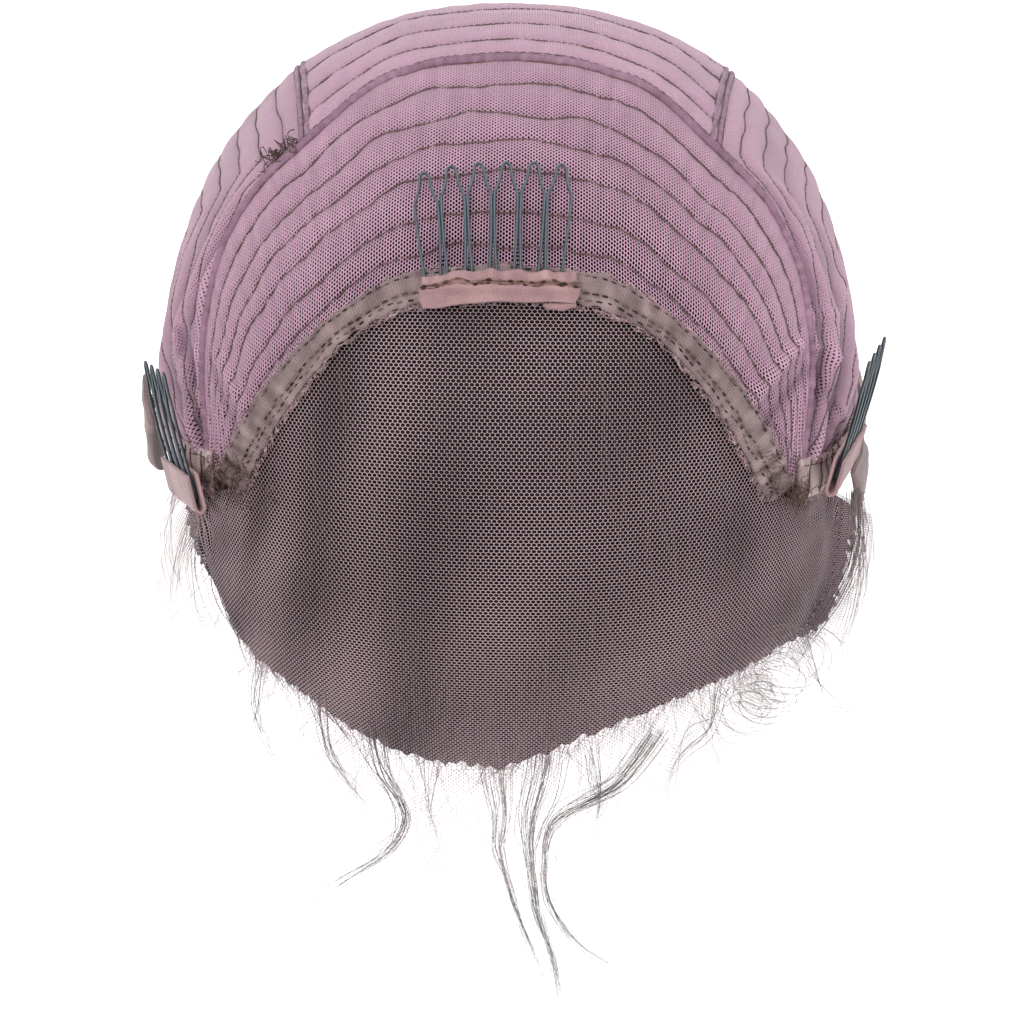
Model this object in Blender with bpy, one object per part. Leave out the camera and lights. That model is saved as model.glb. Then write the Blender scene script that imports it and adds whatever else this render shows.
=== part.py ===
"""Lace front wig cap, turned inside out and held in its worn shape.

Metres, +Z up, the forehead faces -Y. The origin is the inside of the crown, where a head's top touches.
The cap is one egg-shaped surface, given by two angles: alpha turns about the line from ear to ear
(0 at the forehead, 90 at the crown, 180 at the back), theta goes sideways from the middle to an ear.
Every panel is a patch of that surface, between two edge curves that are given at a few stations.
"""
import math

import bmesh
import bpy
from mathutils import Vector

# Cap surface
HALF_WIDTH = 0.094
EAR_LINE_Y = 0.004
EAR_LINE_Z = -0.110
SQUARENESS = 2.3
NECK_NARROWING = 0.08
NARROWING_FROM_Z = -0.050
NARROWING_DEPTH = 0.060
TEMPLE_DENT = 0.004
TEMPLE_DENT_Y = -0.025
TEMPLE_DENT_Z = -0.052
TEMPLE_DENT_REACH = 0.014
PROFILE = (
    # alpha, radius of the middle line from the ear line
    (-60, 0.108),
    (0, 0.108),
    (45, 0.117),
    (90, 0.124),
    (135, 0.118),
    (180, 0.112),
    (215, 0.100),
    (270, 0.100),
)

CROWN = Vector((0.0, 0.020, 0.014))

# Layers, as heights above the cap surface
PANEL_THICKNESS = 0.0012
LACE_TOP = -0.0002
LACE_THICKNESS = 0.0010
TRIM_LIFT = 0.00035
TRIM_THICKNESS = 0.0011
HAIR_TOP = -0.0020
HAIR_THICKNESS = 0.0065
GAP = 0.00035

# Edge curves, one row for each station from the middle to an ear
RIBBON = (
    # theta and alpha of the back edge, theta and alpha of the front edge
    (0.0, 87.0, 0.0, 83.4),
    (10.5, 86.3, 9.5, 82.8),
    (20.0, 82.8, 18.5, 79.9),
    (28.0, 78.2, 25.0, 75.2),
    (34.5, 73.2, 30.3, 70.2),
    (39.5, 68.0, 34.5, 65.2),
    (43.3, 63.0, 37.5, 60.8),
)
CROWN_SEAM = (
    # theta, alpha
    (0.0, 118.5),
    (14.0, 116.7),
    (28.0, 108.7),
    (37.5, 104.3),
    (45.5, 94.5),
    (48.0, 80.0),
    (46.3, 64.2),
)
SIDE_PANEL_OUTER = (
    # theta, alpha of the side panel's outer edge, from the forehead round over the ear to the nape
    (50.5, 60.8),
    (60.0, 63.0),
    (68.0, 69.3),
    (75.0, 80.6),
    (79.0, 95.6),
    (80.2, 110.0),
    (80.5, 122.0),
    (80.3, 138.0),
    (78.8, 157.0),
    (75.0, 176.0),
    (68.5, 193.0),
    (59.0, 203.2),
    (46.0, 208.7),
)
BACK_SEAM = (
    # theta, alpha of the seam from the crown seam's corner down to the nape
    (28.0, 108.7),
    (30.0, 122.0),
    (33.0, 145.0),
    (33.5, 165.0),
    (32.5, 184.0),
    (31.5, 198.0),
    (30.7, 208.6),
)
CORNER_STATION = 2
BACK_START = 6
PERIMETER = (
    # theta, alpha
    (45.2, 60.6),
    (50.5, 60.6),
    (56.0, 61.4),
    (62.0, 64.0),
    (67.0, 68.2),
    (72.0, 74.6),
    (76.5, 84.3),
    (79.5, 99.5),
    (80.5, 120.0),
    (80.0, 145.0),
    (77.0, 168.0),
    (72.0, 186.0),
    (64.0, 199.0),
    (54.0, 206.0),
    (42.0, 209.0),
    (30.0, 209.3),
    (15.0, 208.8),
    (0.0, 208.5),
)
LACE_TOP_OUTWARD = (
    # theta, alpha of the lace's upper edge beyond the ribbon
    (47.0, 59.9),
    (54.5, 60.3),
    (61.5, 62.8),
)
HAIRLINE = (
    # left theta and alpha, right theta and alpha
    (0.0, 22.5, 0.0, 22.5),
    (9.0, 23.5, 8.0, 28.0),
    (18.0, 26.0, 18.0, 31.5),
    (28.0, 30.5, 29.0, 33.4),
    (36.0, 32.5, 38.5, 33.0),
    (42.0, 35.0, 47.0, 32.0),
    (47.0, 43.0, 54.0, 32.5),
    (51.0, 50.0, 60.5, 36.5),
    (56.0, 56.5, 64.5, 46.0),
    (61.0, 60.0, 67.0, 56.0),
)
LACE_EDGE = (
    # left x, y, z and right x, y, z of the uncut edge, in millimetres
    (0, -118, -112, 0, -118, -112),
    (-18, -115, -111, 24, -113, -108),
    (-33, -106, -107, 44, -101, -104),
    (-47, -94, -102, 58, -88, -101),
    (-59, -84, -98, 68, -78, -98),
    (-69, -74, -96, 76, -69, -95),
    (-77, -64, -93, 82, -60, -91),
    (-82, -54, -87, 86, -51, -86),
    (-85, -44, -80, 88, -42, -80),
    (-86, -33, -71, 88, -33, -72),
)
HAIRLINE_ROW = 0.74

# Low relief
WEFT_ROWS = (0.0, 0.12, 0.24, 0.40, 0.52, 0.66, 0.83, 1.0)
WEFT_PUFF = 0.0007
SIDE_FOLDS = 3.5
SIDE_FOLD_DEPTH = 0.0016
RIBBON_PUCKER_DEPTH = 0.00035
BAND_WIDTH = 0.009
BAND_EAR_WIDTH = 0.006
BACK_ROWS = 7
BACK_TOP_GAP = 0.003
BACK_SIDE_GAP = 0.011

# Combs
WIRE_RADIUS = 0.0004
LOOP_PITCH = 0.0066
LOOP_HALF_WIDTH = 0.0028
FOOT_HALF_WIDTH = 0.0022
LOOP_HEIGHT = 0.0290
FRONT_LOOPS = 6
SIDE_LOOPS = 4
COMB_FOOT_ALPHA = 85.2
COMB_LIFT = 0.00235
FRONT_COMB_X = -0.0035
OUTER_LEG_LEAN = (0.0028, -0.0020)
TAPE_THICKNESS = 0.0008
FRONT_TAPE_X = (-0.0205, 0.0175)
SIDE_COMBS = (
    # side, y and z of the foot's middle, its height over the band, foot direction, tooth direction
    ("left", -0.0362, -0.0380, 0.0026, (-0.355, 0.500, -0.792), (-0.220, 0.780, 0.587)),
    ("right", -0.0250, -0.0430, 0.0034, (0.290, 0.655, -0.698), (0.200, 0.680, 0.709)),
)
EAR_TABS = (
    # side, y and z of the top's middle, length, half width, how far the tip tucks in
    ("left", -0.0050, -0.0610, 0.0280, 0.0090, 0.0012),
    ("right", -0.0180, -0.0580, 0.0290, 0.0065, 0.0012),
)
TAB_LIFT = 0.0034
TAB_CURL = 0.0006
TAB_THICKNESS = 0.0014

# Hair
HAIR_THETAS = tuple(range(-70, 71, 7))
HAIR_RIDGE = 0.0005
FALL_LENGTH = 0.145
FALL_ROWS = 6
WISPS = (
    # hair column, then x, y, z of points along the lock in millimetres
    (7, ((-31, -95, -91), (-26, -100, -110), (-30, -109, -115), (-45, -119, -120), (-54, -120, -127))),
    (9, ((-2, -98, -88), (-2, -106, -110), (2, -116, -130), (7, -120, -152), (10, -123, -168))),
    (10, ((9, -97, -92), (6, -104, -109), (7, -114, -122), (9, -119, -146), (13, -124, -180))),
    (12, ((34, -85, -90), (26, -95, -104), (12, -106, -113), (13, -115, -124), (31, -121, -152))),
)

WISP_TAPER = (0.24, 0.18, 0.13, 0.09, 0.05)

COLOURS = {
    "stretch_net": (0.60, 0.38, 0.48, 1.0),
    "lace": (0.62, 0.50, 0.48, 1.0),
    "grosgrain_taupe": (0.34, 0.27, 0.24, 1.0),
    "grosgrain_pink": (0.66, 0.42, 0.38, 1.0),
    "comb_wire": (0.06, 0.08, 0.10, 1.0),
    "hair": (0.02, 0.014, 0.012, 1.0),
}


def clear_scene():
    for item in list(bpy.data.objects):
        bpy.data.objects.remove(item, do_unlink=True)


def curve_value(keys, values, x):
    """A smooth curve through the keys that never overshoots."""
    if x <= keys[0]:
        return values[0]
    if x >= keys[-1]:
        return values[-1]
    steps = [b - a for a, b in zip(keys, keys[1:])]
    slopes = [(b - a) / h for a, b, h in zip(values, values[1:], steps)]
    i = max(k for k in range(len(steps)) if keys[k] <= x)

    def tangent(k):
        if k == 0:
            return slopes[0]
        if k == len(slopes):
            return slopes[-1]
        before, after = slopes[k - 1], slopes[k]
        if before * after <= 0:
            return 0.0
        return 2 * before * after / (before + after)

    h = steps[i]
    t = (x - keys[i]) / h
    rise = 3 * t * t - 2 * t * t * t
    start = t * (1 - t) * (1 - t) * h * tangent(i)
    end = t * t * (t - 1) * h * tangent(i + 1)
    return values[i] * (1 - rise) + values[i + 1] * rise + start + end


def at_station(table, station, column):
    """One column of a table between its rows."""
    keys = list(range(len(table)))
    return curve_value(keys, [row[column] for row in table], station)


def smooth(t):
    t = min(1.0, max(0.0, t))
    return t * t * (3 - 2 * t)


def profile_radius(alpha):
    return curve_value([row[0] for row in PROFILE], [row[1] for row in PROFILE], alpha)


def cap_point(alpha, theta):
    """The point of the cap surface at two angles in degrees."""
    power = 2 / SQUARENESS
    a, t = math.radians(alpha), math.radians(theta)
    sideways = math.copysign(abs(math.sin(t)) ** power, theta)
    shrink = abs(math.cos(t)) ** power
    reach = profile_radius(alpha) * shrink
    y = EAR_LINE_Y - reach * math.cos(a)
    z = EAR_LINE_Z + reach * math.sin(a)
    x = HALF_WIDTH * sideways
    x *= 1 - NECK_NARROWING * smooth((NARROWING_FROM_Z - z) / NARROWING_DEPTH)
    away = ((y - TEMPLE_DENT_Y) ** 2 + (z - TEMPLE_DENT_Z) ** 2) / (2 * TEMPLE_DENT_REACH ** 2)
    x -= math.copysign(TEMPLE_DENT * math.exp(-away) * smooth(abs(x) / 0.070), x)
    return Vector((x, y, z))


def cap_normal(alpha, theta):
    step = 0.4
    along = cap_point(alpha + step, theta) - cap_point(alpha - step, theta)
    across = cap_point(alpha, theta + step) - cap_point(alpha, theta - step)
    normal = along.cross(across).normalized()
    outward = cap_point(alpha, theta) - Vector((0, EAR_LINE_Y, EAR_LINE_Z))
    return normal if normal.dot(outward) > 0 else -normal


def lifted(alpha, theta, height):
    return cap_point(alpha, theta) + cap_normal(alpha, theta) * height


def theta_of_x(x):
    return math.copysign(math.degrees(math.asin(min(1.0, abs(x) / HALF_WIDTH) ** (SQUARENESS / 2))), x)


def angles_beside(y, z, side):
    """The angles of the surface point that is straight beside a y and z near an ear."""
    dy, dz = EAR_LINE_Y - y, z - EAR_LINE_Z
    alpha = math.degrees(math.atan2(dz, dy)) % 360
    shrink = min(1.0, math.hypot(dy, dz) / profile_radius(alpha))
    theta = math.degrees(math.acos(shrink ** (SQUARENESS / 2)))
    return alpha, side * theta


def material(name):
    found = bpy.data.materials.get(name)
    if found:
        return found
    made = bpy.data.materials.new(name)
    made.use_nodes = True
    shader = made.node_tree.nodes["Principled BSDF"]
    shader.inputs["Base Color"].default_value = COLOURS[name]
    shader.inputs["Roughness"].default_value = 0.35 if name == "comb_wire" else 0.8
    made.diffuse_color = COLOURS[name]
    return made


def add_object(name, points, faces, slot):
    mesh = bpy.data.meshes.new(name)
    mesh.from_pydata([tuple(p) for p in points], [], faces)
    body = bmesh.new()
    body.from_mesh(mesh)
    bmesh.ops.triangulate(body, faces=body.faces)
    bmesh.ops.recalc_face_normals(body, faces=body.faces)
    body.to_mesh(mesh)
    body.free()
    mesh.materials.append(material(slot))
    made = bpy.data.objects.new(name, mesh)
    bpy.context.collection.objects.link(made)
    return made


def shell_faces(rows, columns):
    """Faces of a closed sheet: its upper grid, its lower grid, and the rim between them."""
    def upper(i, j):
        return i * columns + j

    def lower(i, j):
        return rows * columns + i * columns + j

    faces = []
    for i in range(rows - 1):
        for j in range(columns - 1):
            faces.append((upper(i, j), upper(i, j + 1), upper(i + 1, j + 1), upper(i + 1, j)))
            faces.append((lower(i, j), lower(i + 1, j), lower(i + 1, j + 1), lower(i, j + 1)))
    for j in range(columns - 1):
        faces.append((upper(0, j), lower(0, j), lower(0, j + 1), upper(0, j + 1)))
        faces.append((upper(rows - 1, j + 1), lower(rows - 1, j + 1), lower(rows - 1, j), upper(rows - 1, j)))
    for i in range(rows - 1):
        faces.append((upper(i + 1, 0), lower(i + 1, 0), lower(i, 0), upper(i, 0)))
        faces.append((upper(i, columns - 1), lower(i, columns - 1), lower(i + 1, columns - 1), upper(i + 1, columns - 1)))
    return faces


def add_sheet(name, upper, lower, slot):
    rows, columns = len(upper), len(upper[0])
    points = [p for row in upper for p in row] + [p for row in lower for p in row]
    return add_object(name, points, shell_faces(rows, columns), slot)


def between(count):
    return [i / (count - 1) for i in range(count)]


def mixed(a, b, t):
    return a + (b - a) * t


def patch_pair(start, end, row, relief, top, thickness):
    """Upper and lower points part of the way from one edge curve to the other."""
    theta = mixed(start[0], end[0], row)
    alpha = mixed(start[1], end[1], row)
    return lifted(alpha, theta, top + relief), lifted(alpha, theta, top + relief - thickness)


def pulled_in(start, end, gap):
    """Both ends of a patch line, each moved inwards along it by a gap."""
    length = (cap_point(end[1], end[0]) - cap_point(start[1], start[0])).length
    part = gap / length
    first = (mixed(start[0], end[0], part), mixed(start[1], end[1], part))
    last = (mixed(end[0], start[0], part), mixed(end[1], start[1], part))
    return first, last


def signed_stations(last, count):
    return [last * (2 * t - 1) for t in between(count)]


def ribbon_middle(station, part):
    """Angles between the ribbon's back edge and its front edge."""
    side = -1 if station < 0 else 1
    s = abs(station)
    back = (side * at_station(RIBBON, s, 0), at_station(RIBBON, s, 1))
    front = (side * at_station(RIBBON, s, 2), at_station(RIBBON, s, 3))
    return mixed(back[0], front[0], part), mixed(back[1], front[1], part)


def crown_seam(station):
    side = -1 if station < 0 else 1
    s = abs(station)
    return side * at_station(CROWN_SEAM, s, 0), at_station(CROWN_SEAM, s, 1)


def build_crown_front():
    rows = []
    for low, high in zip(WEFT_ROWS, WEFT_ROWS[1:]):
        rows += [(low, 0.0), ((low + high) / 2, WEFT_PUFF)]
    rows.append((1.0, 0.0))
    upper, lower = [], []
    for row, relief in rows:
        top, under = [], []
        for station in signed_stations(6, 25):
            start, end = pulled_in(ribbon_middle(station, 0.40), crown_seam(station), GAP / 2)
            a, b = patch_pair(start, end, row, relief, 0.0, PANEL_THICKNESS)
            top.append(a)
            under.append(b)
        upper.append(top)
        lower.append(under)
    add_sheet("crown_front_panel", upper, lower, "stretch_net")


def back_angles(row, across):
    """Angles on the back panel: row from the crown seam to the nape, across from -1 to 1."""
    theta, alpha = crown_seam(CORNER_STATION * across)
    station = row * (len(BACK_SEAM) - 1)
    edge_theta, edge_alpha = at_station(BACK_SEAM, station, 0), at_station(BACK_SEAM, station, 1)
    top, bottom = BACK_SEAM[0][1], BACK_SEAM[-1][1]
    down = (edge_alpha - top) / (bottom - top)
    return theta * edge_theta / BACK_SEAM[0][0], mixed(alpha, bottom, down)


def build_crown_back():
    upper, lower = [], []
    count = 2 * BACK_ROWS + 1
    for i in range(count):
        row = mixed(BACK_TOP_GAP, 1.0, i / (count - 1))
        relief = WEFT_PUFF if i % 2 else 0.0
        top, under = [], []
        for t in between(11):
            theta, alpha = back_angles(row, (2 * t - 1) * (1 - BACK_SIDE_GAP))
            top.append(lifted(alpha, theta, relief))
            under.append(lifted(alpha, theta, relief - PANEL_THICKNESS))
        upper.append(top)
        lower.append(under)
    add_sheet("crown_back_panel", upper, lower, "stretch_net")


def side_panel_line(station):
    """Angles of the side panel's inner and outer edge at one station."""
    if station <= BACK_START:
        last = len(CROWN_SEAM) - 1
        inner = crown_seam(last - station * (last - CORNER_STATION) / BACK_START)
    else:
        past = station - BACK_START
        inner = (at_station(BACK_SEAM, past, 0), at_station(BACK_SEAM, past, 1))
    outer = (at_station(SIDE_PANEL_OUTER, station, 0), at_station(SIDE_PANEL_OUTER, station, 1))
    return inner, outer


def side_fold(station, row, length):
    """Height of the soft lengthwise folds, flat under the perimeter band and at the inner seam."""
    strength = SIDE_FOLD_DEPTH * (1 - 0.75 * smooth((station - 3) / 5))
    fade = smooth(row / 0.2) * smooth(((1 - row) * length - BAND_WIDTH) / BAND_WIDTH)
    return strength * fade * (0.5 + 0.5 * math.sin(2 * math.pi * SIDE_FOLDS * row + 0.4 * station))


def build_side_panel(name, side):
    upper, lower = [], []
    for station in [12 * t for t in between(21)]:
        inner, outer = side_panel_line(station)
        end = (side * outer[0], outer[1])
        start, _ = pulled_in((side * inner[0], inner[1]), end, GAP / 2)
        length = (cap_point(end[1], end[0]) - cap_point(start[1], start[0])).length
        top, under = [], []
        for row in between(11):
            a, b = patch_pair(start, end, row, side_fold(station, row, length), 0.0, PANEL_THICKNESS)
            top.append(a)
            under.append(b)
        upper.append(top)
        lower.append(under)
    add_sheet(name, upper, lower, "stretch_net")


def build_ribbon():
    upper, lower = [], []
    stations = signed_stations(6, 45)
    for row in (0.0, 0.5, 1.0):
        top, under = [], []
        for k, station in enumerate(stations):
            theta, alpha = ribbon_middle(station, row)
            ends = smooth((abs(station) - 3.0) / 3.0)
            lift = TRIM_LIFT + TRIM_THICKNESS + RIBBON_PUCKER_DEPTH * (k % 2) * (0.3 + ends)
            top.append(lifted(alpha, theta, WEFT_PUFF * 0.6 + lift))
            under.append(lifted(alpha, theta, WEFT_PUFF * 0.6 + TRIM_LIFT))
        upper.append(top)
        lower.append(under)
    add_sheet("lace_seam_ribbon", upper, lower, "grosgrain_taupe")


def lace_column(station):
    """Angles of the lace's top and hairline, and the place of its uncut edge, at one station."""
    left = station < 0
    s = abs(station)
    side = -1 if left else 1
    last_on_ribbon = len(RIBBON) - 1
    if s <= last_on_ribbon:
        top = ribbon_middle(station, 0.62)
    else:
        start = ribbon_middle(last_on_ribbon * side, 0.62)
        table = ((abs(start[0]), start[1]),) + LACE_TOP_OUTWARD
        top = (side * at_station(table, s - last_on_ribbon, 0), at_station(table, s - last_on_ribbon, 1))
    first = 0 if left else 2
    line = (side * at_station(HAIRLINE, s, first), at_station(HAIRLINE, s, first + 1))
    first = 0 if left else 3
    edge = Vector([at_station(LACE_EDGE, s, first + k) * 0.001 for k in range(3)])
    return top, line, edge


def lace_point(station, row, height):
    top, line, edge = lace_column(station)
    if row <= HAIRLINE_ROW:
        t = row / HAIRLINE_ROW
        return lifted(mixed(top[1], line[1], t), mixed(top[0], line[0], t), height)
    t = (row - HAIRLINE_ROW) / (1 - HAIRLINE_ROW)
    start = lifted(line[1], line[0], height)
    normal = cap_normal(line[1], line[0])
    wave = 0.0016 * math.sin(2.3 * station) * t * t
    return start + (edge + normal * height - start) * t + normal * (0.0035 * t * (1 - t) + wave)


def build_lace():
    rows = [HAIRLINE_ROW * t for t in between(10)] + [mixed(HAIRLINE_ROW, 1.0, t) for t in (0.33, 0.67, 1.0)]
    columns = signed_stations(9, 33)
    upper = [[lace_point(s, r, LACE_TOP) for s in columns] for r in rows]
    lower = [[lace_point(s, r, LACE_TOP - LACE_THICKNESS) for s in columns] for r in rows]
    add_sheet("lace_front_panel", upper, lower, "lace")


def perimeter_angles(station):
    last = len(PERIMETER) - 1
    side = 1 if station >= 0 else -1
    from_end = last - abs(station)
    return side * at_station(PERIMETER, from_end, 0), at_station(PERIMETER, from_end, 1)


def beside(point, side, theta, height):
    """A point set onto the cap surface, at a height: radially in the middle, sideways near an ear."""
    dy, dz = EAR_LINE_Y - point.y, point.z - EAR_LINE_Z
    alpha = math.degrees(math.atan2(dz, dy)) % 360
    if abs(theta) < 50:
        return lifted(alpha, theta_of_x(point.x), height)
    alpha, theta = angles_beside(point.y, point.z, side)
    return lifted(alpha, theta, height)


def build_perimeter_band():
    last = len(PERIMETER) - 1
    stations = signed_stations(last, 61)
    upper, lower = [[], [], []], [[], [], []]
    for k, station in enumerate(stations):
        theta, alpha = perimeter_angles(station)
        here = cap_point(alpha, theta)
        after = cap_point(*reversed(perimeter_angles(min(last, station + 0.05))))
        before = cap_point(*reversed(perimeter_angles(max(-last, station - 0.05))))
        along = (after - before).normalized()
        inward = cap_normal(alpha, theta).cross(along).normalized()
        if inward.dot(CROWN - here) < 0:
            inward = -inward
        side = 1 if theta >= 0 else -1
        pucker = RIBBON_PUCKER_DEPTH * (k % 2)
        wide = mixed(BAND_EAR_WIDTH, BAND_WIDTH, smooth((abs(station) - 13.0) / 3.0))
        for r, width in enumerate((-0.0004, wide / 2, wide)):
            spot = here + inward * width
            base = WEFT_PUFF + TRIM_LIFT
            upper[r].append(beside(spot, side, theta, base + TRIM_THICKNESS + pucker))
            lower[r].append(beside(spot, side, theta, base))
    add_sheet("perimeter_band", upper, lower, "grosgrain_taupe")


def build_ear_tab(name, side, y, z, length, half_width, tuck_in):
    upper, lower = [], []
    for t in between(7):
        rounding = max(0.0, (t - 0.45) / 0.55)
        half = half_width * max(0.16, math.sqrt(1 - rounding ** 2)) * (0.8 + 0.2 * smooth(t / 0.3))
        top, under = [], []
        for c in between(5):
            across = 2 * c - 1
            spot_y = y - 0.004 * t + across * half
            spot_z = z - length * t
            alpha, theta = angles_beside(spot_y, spot_z, side)
            base = abs(cap_point(alpha, theta).x)
            out = TAB_LIFT - tuck_in * smooth(2 * t - 1) - TAB_CURL * across * across * t
            top.append(Vector((side * (base + out + TAB_THICKNESS), spot_y, spot_z)))
            under.append(Vector((side * (base + out), spot_y, spot_z)))
        upper.append(top)
        lower.append(under)
    add_sheet(name, upper, lower, "grosgrain_taupe")


def comb_path(loops, lean):
    """Sideways and lengthwise places along the bent wire, from one outer foot to the other."""
    path = []
    w, foot = LOOP_HALF_WIDTH, FOOT_HALF_WIDTH
    shape = (
        (-foot, -0.0012), (-w, 0.010), (-w, 0.0200), (-0.0021, 0.0229), (-0.00125, 0.0253), (-0.0008, 0.0280),
        (0.0, LOOP_HEIGHT),
        (0.0008, 0.0280), (0.00125, 0.0253), (0.0021, 0.0229), (w, 0.0200), (w, 0.010), (foot, -0.0012),
    )
    for k in range(loops):
        middle = (k - (loops - 1) / 2) * LOOP_PITCH
        for n, (u, v) in enumerate(shape):
            shift = 0.0
            if k == 0 and n < 3:
                shift = lean[0] * (1 - max(0.0, v) / 0.018)
            if k == loops - 1 and n > 9:
                shift = lean[1] * (1 - max(0.0, v) / 0.018)
            path.append((middle + u + shift, v))
        if k < loops - 1:
            path.append((middle + LOOP_PITCH / 2, -0.0021))
    return path


def add_wire(name, path, radius, sides, slot):
    """A closed tube along a path of points."""
    points, faces = [], []
    directions = []
    for k in range(len(path)):
        before, after = path[max(0, k - 1)], path[min(len(path) - 1, k + 1)]
        directions.append((after - before).normalized())
    side = directions[0].orthogonal().normalized()
    for k, centre in enumerate(path):
        side = (side - directions[k] * side.dot(directions[k])).normalized()
        other = directions[k].cross(side)
        for n in range(sides):
            turn = 2 * math.pi * n / sides
            points.append(centre + (side * math.cos(turn) + other * math.sin(turn)) * radius)
    for k in range(len(path) - 1):
        for n in range(sides):
            a, b = k * sides + n, k * sides + (n + 1) % sides
            faces.append((a, b, b + sides, a + sides))
    faces.append(tuple(reversed(range(sides))))
    faces.append(tuple(range((len(path) - 1) * sides, len(path) * sides)))
    return add_object(name, points, faces, slot)


def build_front_comb():
    path = []
    per_metre = 180 / math.pi / profile_radius(92)
    for u, v in comb_path(FRONT_LOOPS, OUTER_LEG_LEAN):
        alpha = COMB_FOOT_ALPHA + v * per_metre
        path.append(lifted(alpha, theta_of_x(FRONT_COMB_X + u), COMB_LIFT + WEFT_PUFF))
    add_wire("comb_front", path, WIRE_RADIUS, 6, "comb_wire")


def build_front_tape():
    over_wire = COMB_LIFT + WEFT_PUFF + WIRE_RADIUS + GAP
    on_ribbon = WEFT_PUFF * 0.6 + TRIM_LIFT + TRIM_THICKNESS + RIBBON_PUCKER_DEPTH + GAP
    rows = ((82.5, on_ribbon), (83.4, on_ribbon), (84.0, over_wire), (85.4, over_wire), (86.9, over_wire))
    upper, lower = [], []
    for alpha, height in rows:
        top, under = [], []
        for t in between(11):
            x = mixed(FRONT_TAPE_X[0], FRONT_TAPE_X[1], t)
            height_here = height + 0.0002 * math.sin(9 * t)
            top.append(lifted(alpha, theta_of_x(x), height_here + TAPE_THICKNESS + 0.0002))
            under.append(lifted(alpha, theta_of_x(x), height_here + 0.0002))
        upper.append(top)
        lower.append(under)
    add_sheet("comb_tape_front", upper, lower, "grosgrain_pink")


def side_comb_frame(side_name, y, z, height, foot, tooth):
    side = -1 if side_name == "left" else 1
    alpha, theta = angles_beside(y, z, side)
    normal = cap_normal(alpha, theta)
    across = Vector(foot).normalized()
    along = Vector(tooth)
    along = (along - across * along.dot(across)).normalized()
    out = across.cross(along).normalized()
    if out.dot(normal) < 0:
        out = -out
    lift = WEFT_PUFF + TRIM_LIFT + TRIM_THICKNESS + RIBBON_PUCKER_DEPTH + height
    return cap_point(alpha, theta) + normal * lift, across, along, out


def build_side_comb(side_name, y, z, height, foot, tooth):
    centre, across, along, out = side_comb_frame(side_name, y, z, height, foot, tooth)
    path = []
    for u, v in comb_path(SIDE_LOOPS, (0.0, 0.0)):
        arch = out * (-2.2 * max(0.0, v) * (LOOP_HEIGHT - v))
        path.append(centre + across * u + along * v - arch)
    add_wire("comb_" + side_name, path, WIRE_RADIUS, 5, "comb_wire")
    half = SIDE_LOOPS * LOOP_PITCH / 2 + 0.0008
    inner = WIRE_RADIUS + GAP
    outer = inner + TAPE_THICKNESS
    profile = (
        (0.0050, inner, outer), (0.0010, inner, outer), (-0.0032, inner, outer),
        (-0.0042, 0.0, None), (-0.0032, -inner, -outer), (0.0010, -inner, -outer), (0.0050, -inner, -outer),
    )
    upper, lower = [], []
    for v, near, far in profile:
        top, under = [], []
        for t in between(5):
            spot = centre + across * mixed(-half, half, t)
            if far is None:
                top.append(spot + along * (v - TAPE_THICKNESS))
                under.append(spot + along * v)
            else:
                top.append(spot + along * v + out * far)
                under.append(spot + along * v + out * near)
        upper.append(top)
        lower.append(under)
    add_sheet("comb_tape_" + side_name, upper, lower, "grosgrain_pink")


def hairline_alpha(theta):
    """Where the hair starts at a theta, on its own side."""
    first = 0 if theta < 0 else 2
    keys = [row[first] for row in HAIRLINE]
    values = [row[first + 1] for row in HAIRLINE]
    if abs(theta) > keys[-1]:
        past = (abs(theta) - keys[-1]) / (72.0 - keys[-1])
        return mixed(values[-1], 80.0, past)
    return curve_value(keys, values, abs(theta))


def nape_alpha(theta):
    rows = [row for row in reversed(PERIMETER) if row[1] > 180]
    return curve_value([row[0] for row in rows], [row[1] for row in rows], abs(theta))


def fall_pair(theta, t, column):
    """Outer and inner points of the hair below the nape, t from 0 at the cap to 1 at the tips."""
    alpha = nape_alpha(theta)
    start = lifted(alpha, theta, HAIR_TOP - HAIR_THICKNESS / 2)
    ragged = 0.008 * math.sin(1.9 * column) + 0.004 * math.cos(4.3 * column)
    end = Vector((start.x * 0.68, 0.034 + (start.y - 0.034) * 0.74, EAR_LINE_Z - 0.050 - FALL_LENGTH + ragged))
    control = start + Vector((start.x * 0.04, 0.010, -0.055))
    centre = start * (1 - t) ** 2 + control * 2 * t * (1 - t) + end * t * t
    outward = Vector((start.x * 0.9, start.y - 0.010, 0)).normalized()
    half = mixed(HAIR_THICKNESS / 2, 0.0065, smooth(t / 0.5)) * (1 - 0.8 * smooth((t - 0.6) / 0.4))
    ridge = HAIR_RIDGE * 2.2 * (1 if column % 2 else -1) * (1 - t)
    return centre + outward * (half + ridge), centre - outward * half


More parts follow.
